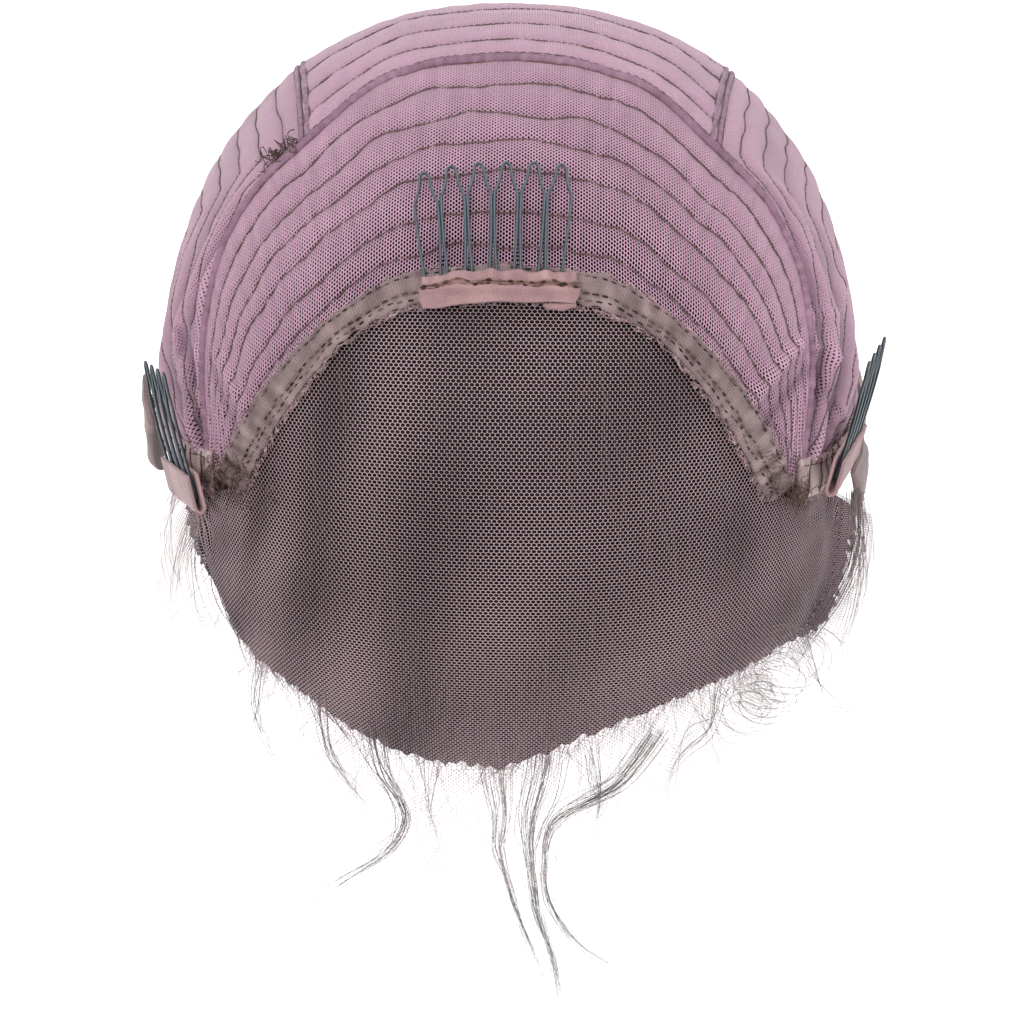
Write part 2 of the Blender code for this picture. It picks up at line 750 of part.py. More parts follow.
def build_hair():
    upper, lower = [], []
    cap_rows = 14
    for i in range(cap_rows):
        top, under = [], []
        for column, theta in enumerate(HAIR_THETAS):
            alpha = mixed(hairline_alpha(theta), nape_alpha(theta), i / (cap_rows - 1))
            ridge = HAIR_RIDGE * (1 if column % 2 else -1)
            taper = 0.45 + 0.55 * smooth(i / 2.0)
            top.append(lifted(alpha, theta, HAIR_TOP - HAIR_RIDGE + ridge))
            under.append(lifted(alpha, theta, HAIR_TOP - HAIR_RIDGE - HAIR_THICKNESS * taper))
        upper.append(top)
        lower.append(under)
    for i in range(1, FALL_ROWS + 1):
        top, under = [], []
        for column, theta in enumerate(HAIR_THETAS):
            a, b = fall_pair(theta, i / FALL_ROWS, column)
            top.append(a)
            under.append(b)
        upper.append(top)
        lower.append(under)
    rows, columns = len(upper), len(HAIR_THETAS)
    points = [p for row in upper for p in row] + [p for row in lower for p in row]
    faces = shell_faces(rows, columns)
    for column, route in WISPS:
        corners = (column, rows * columns + column, rows * columns + column + 1, column + 1)
        faces.remove(corners)
        centre = sum((points[c] for c in corners), Vector()) / 4
        size = [points[c] - centre for c in corners]
        ring = list(corners)
        for k, spot in enumerate(route):
            part = WISP_TAPER[k]
            middle = Vector(spot) * 0.001
            fresh = list(range(len(points), len(points) + 4))
            points.extend(middle + offset * part for offset in size)
            for n in range(4):
                faces.append((ring[n], ring[(n + 1) % 4], fresh[(n + 1) % 4], fresh[n]))
            ring = fresh
        faces.append(tuple(ring))
    add_object("hair", points, faces, "hair")


def build():
    clear_scene()
    build_lace()
    build_ribbon()
    build_crown_front()
    build_crown_back()
    build_side_panel("side_panel_left", -1)
    build_side_panel("side_panel_right", 1)
    build_perimeter_band()
    for name, y, z, length, half_width, tuck_in in EAR_TABS:
        side = -1 if name == "left" else 1
        build_ear_tab("ear_tab_" + name, side, y, z, length, half_width, tuck_in)
    build_front_comb()
    build_front_tape()
    for row in SIDE_COMBS:
        build_side_comb(*row)
    build_hair()


build()
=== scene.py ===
import math

import bpy
import numpy as np
from mathutils import Matrix, Vector


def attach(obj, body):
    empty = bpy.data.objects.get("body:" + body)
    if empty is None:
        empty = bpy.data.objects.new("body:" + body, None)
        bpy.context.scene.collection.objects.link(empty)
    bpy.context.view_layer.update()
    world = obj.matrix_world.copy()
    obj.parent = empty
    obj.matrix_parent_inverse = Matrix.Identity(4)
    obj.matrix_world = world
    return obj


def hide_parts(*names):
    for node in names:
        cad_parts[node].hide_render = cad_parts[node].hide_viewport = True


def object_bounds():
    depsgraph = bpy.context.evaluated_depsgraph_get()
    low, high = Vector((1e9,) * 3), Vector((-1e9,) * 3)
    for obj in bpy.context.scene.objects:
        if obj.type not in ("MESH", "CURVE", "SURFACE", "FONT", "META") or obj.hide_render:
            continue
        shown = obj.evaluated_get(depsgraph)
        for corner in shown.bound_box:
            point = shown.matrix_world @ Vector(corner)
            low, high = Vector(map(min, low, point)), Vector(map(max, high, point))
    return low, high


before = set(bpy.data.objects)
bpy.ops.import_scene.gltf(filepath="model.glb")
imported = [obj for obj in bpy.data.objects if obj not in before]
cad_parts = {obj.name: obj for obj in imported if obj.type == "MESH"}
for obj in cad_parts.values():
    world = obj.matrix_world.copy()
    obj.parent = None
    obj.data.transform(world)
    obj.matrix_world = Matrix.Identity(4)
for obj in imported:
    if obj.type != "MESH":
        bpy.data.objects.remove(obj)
cad_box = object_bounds()

# The cap surface, with the same numbers as the solids (metres, degrees)
HALF_WIDTH = 0.094
EAR_LINE_Y = 0.004
EAR_LINE_Z = -0.110
SQUARENESS = 2.3
NECK_NARROWING = 0.08
NARROWING_FROM_Z = -0.050
NARROWING_DEPTH = 0.060
TEMPLE_DENT = 0.004
TEMPLE_DENT_Y = -0.025
TEMPLE_DENT_Z = -0.052
TEMPLE_DENT_REACH = 0.014
PROFILE = np.array((
    (-60, 0.108), (0, 0.108), (45, 0.117), (90, 0.124), (135, 0.118), (180, 0.112), (215, 0.100),
    (270, 0.100),
))
CROWN = np.array((0.0, 0.020, 0.014))

# Edge curves in degrees, a row for each station from the middle to an ear
# Theta and alpha of the ribbon's upper edge, then of its lower edge
RIBBON = np.array((
    (0.0, 87.0, 0.0, 83.4), (10.5, 86.3, 9.5, 82.8), (20.0, 82.8, 18.5, 79.9), (28.0, 78.2, 25.0, 75.2),
    (34.5, 73.2, 30.3, 70.2), (39.5, 68.0, 34.5, 65.2), (43.3, 63.0, 37.5, 60.8),
))
CROWN_SEAM = np.array((
    (0.0, 118.5), (14.0, 116.7), (28.0, 108.7), (37.5, 104.3), (45.5, 94.5), (48.0, 80.0), (46.3, 64.2),
))
SIDE_PANEL_OUTER = np.array((
    (50.5, 60.8), (60.0, 63.0), (68.0, 69.3), (75.0, 80.6), (79.0, 95.6), (80.2, 110.0), (80.5, 122.0),
    (80.3, 138.0), (78.8, 157.0), (75.0, 176.0), (68.5, 193.0), (59.0, 203.2), (46.0, 208.7),
))
BACK_SEAM = np.array((
    (28.0, 108.7), (30.0, 122.0), (33.0, 145.0), (33.5, 165.0), (32.5, 184.0), (31.5, 198.0), (30.7, 208.6),
))
CORNER_STATION = 2
BACK_START = 6
PERIMETER = np.array((
    (45.2, 60.6), (50.5, 60.6), (56.0, 61.4), (62.0, 64.0), (67.0, 68.2), (72.0, 74.6), (76.5, 84.3),
    (79.5, 99.5), (80.5, 120.0), (80.0, 145.0), (77.0, 168.0), (72.0, 186.0), (64.0, 199.0), (54.0, 206.0),
    (42.0, 209.0), (30.0, 209.3), (15.0, 208.8), (0.0, 208.5),
))
LACE_TOP_OUTWARD = np.array(((47.0, 59.9), (54.5, 60.3), (61.5, 62.8)))
# Theta and alpha of the hairline, on the left and then on the right
HAIRLINE = np.array((
    (0.0, 22.5, 0.0, 22.5), (9.0, 23.5, 8.0, 28.0), (18.0, 26.0, 18.0, 31.5), (28.0, 30.5, 29.0, 33.4),
    (36.0, 32.5, 38.5, 33.0), (42.0, 35.0, 47.0, 32.0), (47.0, 43.0, 54.0, 32.5), (51.0, 50.0, 60.5, 36.5),
    (56.0, 56.5, 64.5, 46.0), (61.0, 60.0, 67.0, 56.0),
))
# The lace's uncut edge in millimetres: x, y and z on the left and then on the right
LACE_EDGE = np.array((
    (0, -118, -112, 0, -118, -112), (-18, -115, -111, 24, -113, -108), (-33, -106, -107, 44, -101, -104),
    (-47, -94, -102, 58, -88, -101), (-59, -84, -98, 68, -78, -98), (-69, -74, -96, 76, -69, -95),
    (-79, -65, -93, 84, -60, -91), (-85, -55, -87, 90, -51, -86), (-88, -44, -80, 93, -42, -79),
    (-88, -33, -71, 94, -32, -71),
)) * 0.001
HAIRLINE_ROW = 0.74

# Heights over the cap surface
NET_HEIGHT = -0.0003
NET_THICKNESS = 0.00020
LACE_HEIGHT = -0.0007
LACE_THICKNESS = 0.00013
WEFT_PUFF = 0.0007
TRIM_LIFT = 0.00035
TRIM_THICKNESS = 0.0011
RIBBON_PUCKER_DEPTH = 0.00035
BAND_WIDTH = 0.009
BAND_EAR_WIDTH = 0.006

# Combs and tapes
WIRE_RADIUS = 0.00037
WIRE_SEAT = 0.0004
LOOP_PITCH = 0.00625
LOOP_HALF_WIDTH = 0.0027
FOOT_HALF_WIDTH = 0.0022
LOOP_HEIGHT = 0.0294
FRONT_LOOPS = 6
SIDE_LOOPS = 4
COMB_FOOT_ALPHA = 85.2
COMB_LIFT = 0.00235
FRONT_COMB_X = -0.0035
OUTER_LEG_LEAN = (0.0004, -0.0005)
LEAN_REACH = 0.018
DROP_REACH = 0.022
BETWEEN_LOOPS_Y = -0.0021
FRONT_COMB_FAN = 0.86
FRONT_LOOP_DROPS = (0.0023, 0.0009, 0.0003, 0.0, -0.0001, 0.0)
TAPE_THICKNESS = 0.0008
TAPE_GAP = 0.00035
FRONT_TAPE_X = (-0.0182, 0.0155)
SIDE_COMBS = (
    # side, y, z, height, direction of the foot, direction of the teeth
    ("left", -0.0362, -0.0380, 0.0026, (-0.355, 0.500, -0.792), (-0.220, 0.780, 0.587)),
    ("right", -0.0250, -0.0430, 0.0034, (0.290, 0.655, -0.698), (0.200, 0.680, 0.709)),
)
EAR_TABS = (
    # side, y, z, length, half width, how far the end tucks in
    ("left", -0.0050, -0.0610, 0.0280, 0.0090, 0.0012),
    ("right", -0.0180, -0.0580, 0.0290, 0.0065, 0.0012),
)
TAB_LIFT = 0.0034
TAB_CURL = 0.0006
TAB_THICKNESS = 0.0014

# Sewn rows: share of the way across their net, and their number on the back of the crown
FRONT_ROWS = (0.0, 0.12, 0.24, 0.40, 0.53, 0.665, 0.83, 1.0)
BACK_ROW_COUNT = 13
SIDE_ROWS = (0.0, 0.095, 0.19, 0.285, 0.385, 0.49, 0.60, 0.72, 0.85, 1.0)

# Local folds of the nets: from and to (theta, alpha), half width and height in mm, and painted shading: below
# 0 a painted shadow, above 0 a painted highlight
CROWN_FOLDS = (
    ((44.0, 83.2), (34.4, 74.1), 1.9, 1.9, 0.18),
    ((46.4, 80.2), (37.2, 71.2), 1.9, -0.6, -0.46),
    ((-44.0, 80.5), (-36.4, 71.0), 1.4, 0.8, 0.12),
    ((-45.6, 79.2), (-39.0, 69.6), 1.2, -0.4, -0.30),
    ((38.0, 71.5), (43.0, 68.5), 1.0, -0.3, -0.22),
)
LEFT_FOLDS = (
    ((-51.6, 80.5), (-51.2, 75.5), 2.6, -1.0, -0.36),
    ((-46.6, 78.6), (-46.2, 75.4), 1.8, -0.8, -0.36),
    ((-55.4, 88.5), (-54.9, 83.5), 1.3, -0.6, -0.45),
    ((-53.4, 90.0), (-45.4, 76.2), 1.6, 0.7, 0.16),
    ((-56.5, 80.0), (-53.0, 71.5), 1.6, 0.6, 0.14),
    ((-49.4, 75.2), (-52.4, 68.5), 1.6, 0.8, 0.14),
    ((-50.8, 71.5), (-48.0, 67.8), 1.9, -0.6, -0.20),
)
RIGHT_FOLDS = (
    ((46.6, 86.0), (50.6, 77.5), 2.4, -0.8, -0.26),
    ((50.0, 80.5), (56.8, 72.8), 2.4, -0.7, -0.22),
    ((59.2, 105.7), (53.6, 84.0), 1.7, 0.8, 0.16),
    ((53.6, 84.0), (60.2, 74.5), 1.7, 0.9, 0.18),
    ((60.2, 74.5), (63.0, 68.8), 1.6, 0.6, 0.14),
    ((48.2, 89.5), (55.5, 93.5), 1.6, 0.7, 0.14),
    ((46.4, 83.5), (52.6, 86.0), 1.6, 0.8, 0.16),
    ((57.0, 80.0), (58.5, 76.0), 1.5, -0.5, -0.24),
)

# Net cells in millimetres: width and height of a cell, half sizes of a hole; the lace's hole and its
# zigzag are shares of a cell
STRETCH_CELL = (1.30, 0.98)
STRETCH_HOLE = (0.252, 0.375)
LACE_CELL = (1.22, 1.56)
LACE_HOLE = 0.895
ZIGZAG = 0.080

# Hair: depth of its top under the cap surface, length of the fall, and numbers of hairs and threads
HAIR_TOP = -0.0022
FALL_LENGTH = 0.145
HAIR_COUNT = 1800
FALL_COUNT = 850
FINE_HAIR_COUNT = 320
RIBBON_FRINGE_COUNT = 760
BAND_FRINGE_COUNT = 260

# Values that follow from the ones above, and places on the cloths
EAR_LINE = np.array((0, EAR_LINE_Y, EAR_LINE_Z))
RIBBON_LAST = len(RIBBON) - 1
RIM_LAST = len(PERIMETER) - 1
CROWN_NET_TUCK = 0.40
LACE_TUCK = 0.62
CROWN_MIDDLE = 90.0
LACE_MIDDLE = 50.0
CAP_RADIUS_MM = 118.0
THREAD_STEP = 0.00052
ROW_STITCH = 0.0016
SEAM_STITCH = 0.0020
FRONT_TAPE_MM = 36.0
SIDE_BACK_END = 12
RIBBON_BASE = WEFT_PUFF * 0.6 + TRIM_LIFT
BAND_BASE = WEFT_PUFF + TRIM_LIFT
BAND_TOP = BAND_BASE + TRIM_THICKNESS
TAPE_SEAT = COMB_LIFT + WEFT_PUFF + WIRE_SEAT + TAPE_GAP
ROW_THREAD_HEIGHT = NET_HEIGHT + NET_THICKNESS / 2


def curve(keys, values, x):
    """A smooth curve through the keys that never overshoots, for arrays."""
    keys, values = np.asarray(keys, float), np.asarray(values, float)
    x = np.clip(np.asarray(x, float), keys[0], keys[-1])
    step = np.diff(keys)
    slope = np.diff(values) / step
    before, after = slope[:-1], slope[1:]
    product = before * after
    total = np.where(product > 0, before + after, 1.0)
    tangent = np.concatenate(([slope[0]], np.where(product > 0, 2 * product / total, 0.0), [slope[-1]]))
    i = np.clip(np.searchsorted(keys, x, side="right") - 1, 0, len(step) - 1)
    t = (x - keys[i]) / step[i]
    rise = t * t * (3 - 2 * t)
    start = t * (1 - t) ** 2 * step[i] * tangent[i]
    end = t * t * (t - 1) * step[i] * tangent[i + 1]
    return values[i] * (1 - rise) + values[i + 1] * rise + start + end


def at_station(table, station, *columns):
    """Smooth values between the rows of a table, an array for each column."""
    found = [curve(np.arange(len(table)), table[:, k], station) for k in columns]
    return found[0] if len(found) == 1 else found


def smooth(t):
    t = np.clip(t, 0.0, 1.0)
    return t * t * (3 - 2 * t)


def mixed(a, b, t):
    return a + (b - a) * t


def waves(x, seed, low, high, count=5, y=None):
    """Smooth waves that don't repeat, about -1 to 1, with between low and high turns for each unit."""
    source = np.random.default_rng(seed)
    total = 0.0
    for _ in range(count):
        turns, phase, heading = source.uniform(low, high), source.uniform(0, 6.28), source.uniform(0, 6.28)
        place = x if y is None else x * math.cos(heading) + y * math.sin(heading)
        total = total + np.sin(6.2832 * turns * place + phase)
    return total / count ** 0.5 * 0.8


def unit(v):
    return v / np.maximum(np.linalg.norm(v, axis=-1, keepdims=True), 1e-12)


def bell(x, middle, width):
    return np.exp(-((x - middle) / width) ** 2)


def grid(rows, columns, low=0.0, high=1.0):
    """Shares down the rows and values across the columns, ready to be combined."""
    return np.linspace(0, 1, rows)[:, None], np.linspace(low, high, columns)[None, :]


def sides_of(s):
    """Side of each station, -1 on the left, and its distance from the middle."""
    return np.where(s < 0, -1.0, 1.0), np.abs(s)


def lengths(points):
    """Length along a line up to each of its points."""
    return np.concatenate(([0.0], np.cumsum(np.linalg.norm(np.diff(points, axis=0), axis=1))))


def points_at(line, length, place):
    return np.stack([np.interp(place, length, line[:, k]) for k in range(3)], -1)


def outward(points):
    return unit(points - EAR_LINE)


def profile_radius(alpha):
    return curve(PROFILE[:, 0], PROFILE[:, 1], alpha)


def cap_point(alpha, theta):
    alpha, theta = np.broadcast_arrays(np.asarray(alpha, float), np.asarray(theta, float))
    power = 2 / SQUARENESS
    a, t = np.radians(alpha), np.radians(theta)
    reach = profile_radius(alpha) * np.abs(np.cos(t)) ** power
    y = EAR_LINE_Y - reach * np.cos(a)
    z = EAR_LINE_Z + reach * np.sin(a)
    x = HALF_WIDTH * np.sign(theta) * np.abs(np.sin(t)) ** power
    x = x * (1 - NECK_NARROWING * smooth((NARROWING_FROM_Z - z) / NARROWING_DEPTH))
    away = ((y - TEMPLE_DENT_Y) ** 2 + (z - TEMPLE_DENT_Z) ** 2) / (2 * TEMPLE_DENT_REACH ** 2)
    x = x - np.sign(x) * TEMPLE_DENT * np.exp(-away) * smooth(np.abs(x) / 0.070)
    return np.stack([x, y, z], -1)


def cap_normal(alpha, theta):
    step = 0.4
    alpha, theta = np.broadcast_arrays(np.asarray(alpha, float), np.asarray(theta, float))
    along = cap_point(alpha + step, theta) - cap_point(alpha - step, theta)
    across = cap_point(alpha, theta + step) - cap_point(alpha, theta - step)
    normal = unit(np.cross(along, across))
    facing = (normal * (cap_point(alpha, theta) - EAR_LINE)).sum(-1, keepdims=True)
    return normal * np.where(facing > 0, 1.0, -1.0)


def lifted(alpha, theta, height):
    normal = cap_normal(alpha, theta)
    height = np.broadcast_to(np.asarray(height, float), normal.shape[:-1])
    return cap_point(alpha, theta) + normal * height[..., None]


def theta_of_x(x):
    x = np.asarray(x, float)
    share = np.minimum(1.0, np.abs(x) / HALF_WIDTH) ** (SQUARENESS / 2)
    return np.sign(x) * np.degrees(np.arcsin(share))


def angles_beside(y, z, side):
    """The angles of the surface point straight beside a y and z near an ear."""
    dy, dz = EAR_LINE_Y - y, z - EAR_LINE_Z
    alpha = np.degrees(np.arctan2(dz, dy)) % 360
    shrink = np.minimum(1.0, np.hypot(dy, dz) / profile_radius(alpha))
    return alpha, side * np.degrees(np.arccos(shrink ** (SQUARENESS / 2)))

THETA_KEYS = np.linspace(-88, 88, 353)
SIDEWAYS = lengths(cap_point(90.0, THETA_KEYS))
SIDEWAYS = SIDEWAYS - SIDEWAYS[len(THETA_KEYS) // 2]


def net_uv(alpha, theta, middle=CROWN_MIDDLE):
    """Place on the cloth in millimetres, so that its cells keep their real size."""
    alpha, theta = np.broadcast_arrays(np.asarray(alpha, float), np.asarray(theta, float))
    u = np.interp(theta, THETA_KEYS, SIDEWAYS) * 1000
    shrink = np.abs(np.cos(np.radians(theta))) ** 0.5
    v = np.radians(alpha - middle) * CAP_RADIUS_MM * shrink
    return np.stack([u, v], -1)


def fold_marks(alpha, theta, folds):
    """Height in metres, painted shade and highlight, and depth of hollows from a table of local folds."""
    place = net_uv(alpha, theta)
    height, shade, hollow = (np.zeros(place.shape[:-1]) for _ in range(3))
    for first, second, width, tall, tone in folds:
        start = net_uv(first[1], first[0])
        along = net_uv(second[1], second[0]) - start
        t = np.clip(((place - start) * along).sum(-1) / (along * along).sum(), 0, 1)
        near = np.exp(-(((place - start - along * t[..., None]) / width) ** 2).sum(-1))
        height = height + 0.001 * tall * near
        shade = shade + tone * near
        hollow = hollow + (near if tall < 0 else 0 * near)
    return height, shade, hollow


def ribbon_line(s, part):
    side, a = sides_of(s)
    high_theta, high_alpha, low_theta, low_alpha = at_station(RIBBON, a, 0, 1, 2, 3)
    return side * mixed(high_theta, low_theta, part), mixed(high_alpha, low_alpha, part)


def crown_seam(s):
    side, a = sides_of(s)
    theta, alpha = at_station(CROWN_SEAM, a, 0, 1)
    return side * theta, alpha


def crown_front_angles(r, s):
    start, end = ribbon_line(s, CROWN_NET_TUCK), crown_seam(s)
    return mixed(start[0], end[0], r), mixed(start[1], end[1], r)


def back_angles(row, across):
    theta, alpha = crown_seam(CORNER_STATION * across)
    edge_theta, edge_alpha = at_station(BACK_SEAM, row * (len(BACK_SEAM) - 1), 0, 1)
    top, bottom = BACK_SEAM[0][1], BACK_SEAM[-1][1]
    down = (edge_alpha - top) / (bottom - top)
    return theta * edge_theta / BACK_SEAM[0][0], mixed(alpha, bottom, down)


def side_panel_angles(station, row, side):
    last = len(CROWN_SEAM) - 1
    to_corner = np.minimum(station, BACK_START) * (last - CORNER_STATION) / BACK_START
    back = at_station(BACK_SEAM, np.maximum(station - BACK_START, 0), 0, 1)
    inner = [np.where(station > BACK_START, b, c) for b, c in zip(back, crown_seam(last - to_corner))]
    outer = at_station(SIDE_PANEL_OUTER, station, 0, 1)
    return side * mixed(inner[0], outer[0], row), mixed(inner[1], outer[1], row)


def lace_lines(s):
    """Top, hairline and uncut edge of the lace at each station."""
    left = s < 0
    side, a = sides_of(s)
    on_ribbon = ribbon_line(np.clip(s, -RIBBON_LAST, RIBBON_LAST), LACE_TUCK)
    start = ribbon_line(np.array(float(RIBBON_LAST)), LACE_TUCK)
    table = np.vstack(([float(v) for v in start], LACE_TOP_OUTWARD))
    past = at_station(table, np.maximum(a - RIBBON_LAST, 0), 0, 1)
    top_theta = np.where(a <= RIBBON_LAST, on_ribbon[0], side * past[0])
    top_alpha = np.where(a <= RIBBON_LAST, on_ribbon[1], past[1])
    lines = at_station(HAIRLINE, a, 0, 1, 2, 3)
    line_theta, line_alpha = side * np.where(left, lines[0], lines[2]), np.where(left, lines[1], lines[3])
    edges = at_station(LACE_EDGE, a, *range(6))
    edge = np.stack([np.where(left, edges[k], edges[k + 3]) for k in range(3)], -1)
    return top_theta, top_alpha, line_theta, line_alpha, edge


def lace_points(s, r, height):
    top_theta, top_alpha, line_theta, line_alpha, edge = lace_lines(s)
    t = np.clip(r / HAIRLINE_ROW, 0, 1)
    theta, alpha = mixed(top_theta, line_theta, t), mixed(top_alpha, line_alpha, t)
    points = lifted(alpha, theta, height)
    out = np.clip((r - HAIRLINE_ROW) / (1 - HAIRLINE_ROW), 0, 1)[..., None]
    normal = cap_normal(line_alpha, line_theta)
    start = cap_point(line_alpha, line_theta)
    wave = 0.0016 * np.sin(2.3 * s)[..., None] * out * out
    beyond = (edge - start) * out + normal * (0.0035 * out * (1 - out) + wave)
    return points + beyond, alpha, theta


def perimeter_angles(station):
    theta, alpha = at_station(PERIMETER, RIM_LAST - np.abs(station), 0, 1)
    return np.where(station >= 0, 1.0, -1.0) * theta, alpha


def band_points(station, width, height):
    """Points over the perimeter band: width inwards from its outer edge, height over the cap."""
    theta, alpha = perimeter_angles(station)
    here = cap_point(alpha, theta)
    beside = [perimeter_angles(np.clip(station + step, -RIM_LAST, RIM_LAST)) for step in (0.05, -0.05)]
    ahead, behind = (cap_point(beside_alpha, beside_theta) for beside_theta, beside_alpha in beside)
    inward = unit(np.cross(cap_normal(alpha, theta), unit(ahead - behind)))
    inward = inward * np.where((inward * (CROWN - here)).sum(-1, keepdims=True) < 0, -1.0, 1.0)
    spot = here + inward * np.asarray(width)[..., None]
    spot_alpha, ear_theta = angles_beside(spot[..., 1], spot[..., 2], np.where(theta >= 0, 1.0, -1.0))
    return lifted(spot_alpha, np.where(np.abs(theta) < 50, theta_of_x(spot[..., 0]), ear_theta), height)


def band_width(station):
    return mixed(BAND_EAR_WIDTH, BAND_WIDTH, smooth((np.abs(station) - 13.0) / 3.0))


def hairline_alpha(theta):
    a = np.abs(theta)
    left, right = ((curve(HAIRLINE[:, k], HAIRLINE[:, k + 1], a), HAIRLINE[-1, k], HAIRLINE[-1, k + 1])
                   for k in (0, 2))
    on_line, last, end = (np.where(theta < 0, l, r) for l, r in zip(left, right))
    return np.where(a > last, mixed(end, 80.0, (a - last) / (72.0 - last)), on_line)

NAPE = PERIMETER[PERIMETER[:, 1] > 180][::-1]


def nape_alpha(theta):
    return curve(NAPE[:, 0], NAPE[:, 1], np.abs(theta))


def make_mesh(name, points, faces, look, uv=None, values=None):
    """An object from arrays; faces is a list of arrays of quads or triangles."""
    mesh = bpy.data.meshes.new(name)
    points = np.asarray(points, np.float32).reshape(-1, 3)
    parts = [np.asarray(f, np.int32) for f in faces if len(f)]
    corners = np.concatenate([f.ravel() for f in parts])
    sizes = np.concatenate([np.full(len(f), f.shape[1], np.int32) for f in parts])
    mesh.vertices.add(len(points))
    mesh.vertices.foreach_set("co", points.ravel())
    mesh.loops.add(len(corners))
    mesh.loops.foreach_set("vertex_index", corners)
    mesh.polygons.add(len(sizes))
    mesh.polygons.foreach_set("loop_start", np.concatenate(([0], np.cumsum(sizes)[:-1])).astype(np.int32))
    mesh.polygons.foreach_set("loop_total", sizes)
    mesh.update(calc_edges=True)
    mesh.polygons.foreach_set("use_smooth", np.ones(len(sizes), bool))
    if uv is not None:
        layer = mesh.uv_layers.new(name="cloth")
        layer.data.foreach_set("uv", np.asarray(uv, np.float32).reshape(-1, 2)[corners].ravel())
    for key, value in (values or {}).items():
        attribute = mesh.attributes.new(key, "FLOAT", "POINT")
        attribute.data.foreach_set("value", np.asarray(value, np.float32).ravel())
    mesh.validate()
    mesh.materials.append(look)
    made = bpy.data.objects.new(name, mesh)
    bpy.context.scene.collection.objects.link(made)
    return made


def grid_quads(rows, columns, start=0):
    i = np.arange(rows - 1)[:, None] * columns + np.arange(columns - 1)[None, :] + start
    return np.stack([i, i + 1, i + 1 + columns, i + columns], -1).reshape(-1, 4)


def closed_grid(name, upper, lower, look, uv, values=None):
    """A closed thin sheet from its upper and lower grids of points."""
    rows, columns = upper.shape[:2]
    count = rows * columns
    top = grid_quads(rows, columns)
    under = grid_quads(rows, columns, count)[:, ::-1]
    border = np.concatenate([
        np.arange(columns), np.arange(1, rows) * columns + columns - 1,
        (rows - 1) * columns + np.arange(columns - 2, -1, -1), np.arange(rows - 2, 0, -1) * columns,
    ])
    after = np.roll(border, -1)
    rim = np.stack([border, border + count, after + count, after], -1)
    middle_cell = (upper[1, 1] + lower[1, 1]) / 2
    facing = np.cross(upper[0, 1] - upper[0, 0], upper[1, 0] - upper[0, 0])
    quads = np.concatenate([top, under, rim])
    if (facing * (upper[1, 1] - middle_cell)).sum() < 0:
        quads = quads[:, ::-1]
    points = np.concatenate([upper.reshape(-1, 3), lower.reshape(-1, 3)])
    both = None if uv is None else np.concatenate([uv.reshape(-1, 2)] * 2)
    doubled = {key: np.concatenate([np.broadcast_to(value, (rows, columns)).ravel()] * 2)
               for key, value in (values or {}).items()}
    return make_mesh(name, points, [quads], look, both, doubled)


def tube_mesh(paths, radii, tones, sides):
    """Points, quads, end faces, places and tones of many tubes that have as many points each."""
    n, k = paths.shape[:2]
    radii = np.broadcast_to(radii, (n, k))
    tangent = unit(np.gradient(paths, axis=1))
    reference = np.where(np.abs(tangent[:, :1, 2:3]) < 0.8, np.array((0, 0, 1.0)), np.array((1.0, 0, 0)))
    side = np.empty_like(paths)
    side[:, 0] = unit(np.cross(tangent[:, 0], reference[:, 0]))
    for i in range(1, k):
        moved = side[:, i - 1] - tangent[:, i] * (side[:, i - 1] * tangent[:, i]).sum(-1, keepdims=True)
        side[:, i] = unit(moved)
    other = np.cross(tangent, side)
    turn = np.arange(sides) * 2 * math.pi / sides
    ring = side[:, :, None] * np.cos(turn)[:, None] + other[:, :, None] * np.sin(turn)[:, None]
    points = paths[:, :, None] + ring * radii[:, :, None, None]
    base = np.arange(n)[:, None, None] * k * sides + np.arange(k - 1)[None, :, None] * sides
    a = base + np.arange(sides)
    b = base + (np.arange(sides) + 1) % sides
    quads = np.stack([a, b, b + sides, a + sides], -1).reshape(-1, 4)
    first = np.arange(n)[:, None] * k * sides + np.arange(sides)[::-1]
    last = np.arange(n)[:, None] * k * sides + (k - 1) * sides + np.arange(sides)
    steps = np.linalg.norm(np.diff(paths, axis=1), axis=-1)
    length = np.concatenate([np.zeros((n, 1)), np.cumsum(steps, axis=1)], 1)
    uv = np.stack([np.broadcast_to(length[:, :, None], (n, k, sides)) * 1000,
                   np.broadcast_to(turn, (n, k, sides))], -1).reshape(-1, 2)
    tones = np.repeat(np.broadcast_to(tones, (n, k)).ravel(), sides)
    return points.reshape(-1, 3), quads, np.concatenate([first, last]), uv, tones


def add_tubes(name, groups, look, sides=3):
    """One mesh of many tubes; groups holds (paths, radii, tones), each with its own number of points."""
    made = [tube_mesh(*group, sides) for group in groups]
    points, quads, ends, uvs, tones = ([one[k] for one in made] for k in range(5))
    starts = np.cumsum([0] + [len(p) for p in points])
    faces = [np.concatenate([f + start for f, start in zip(part, starts)]) for part in (quads, ends)]
    return make_mesh(name, np.concatenate(points), faces, look, np.concatenate(uvs),
                     {"tone": np.concatenate(tones)})


def resampled(points, step):
    """The same line with evenly spaced points, and their places along it."""
    length = lengths(points)
    place = np.linspace(0, length[-1], max(3, int(length[-1] / step) + 1))
    return points_at(points, length, place), place


def spline(points, per_step):
    """A smooth line through points."""
    points = np.asarray(points, float)
    padded = np.vstack([2 * points[0] - points[1], points, 2 * points[-1] - points[-2]])
    t = np.arange(per_step)[:, None] / per_step
    made = []
    for a, b, c, d in zip(padded, padded[1:], padded[2:], padded[3:]):
        square, cube = 2 * a - 5 * b + 4 * c - d, 3 * b - a - 3 * c + d
        made.append(0.5 * (2 * b + (c - a) * t + square * t ** 2 + cube * t ** 3))
    return np.vstack(made + [points[-1:]])


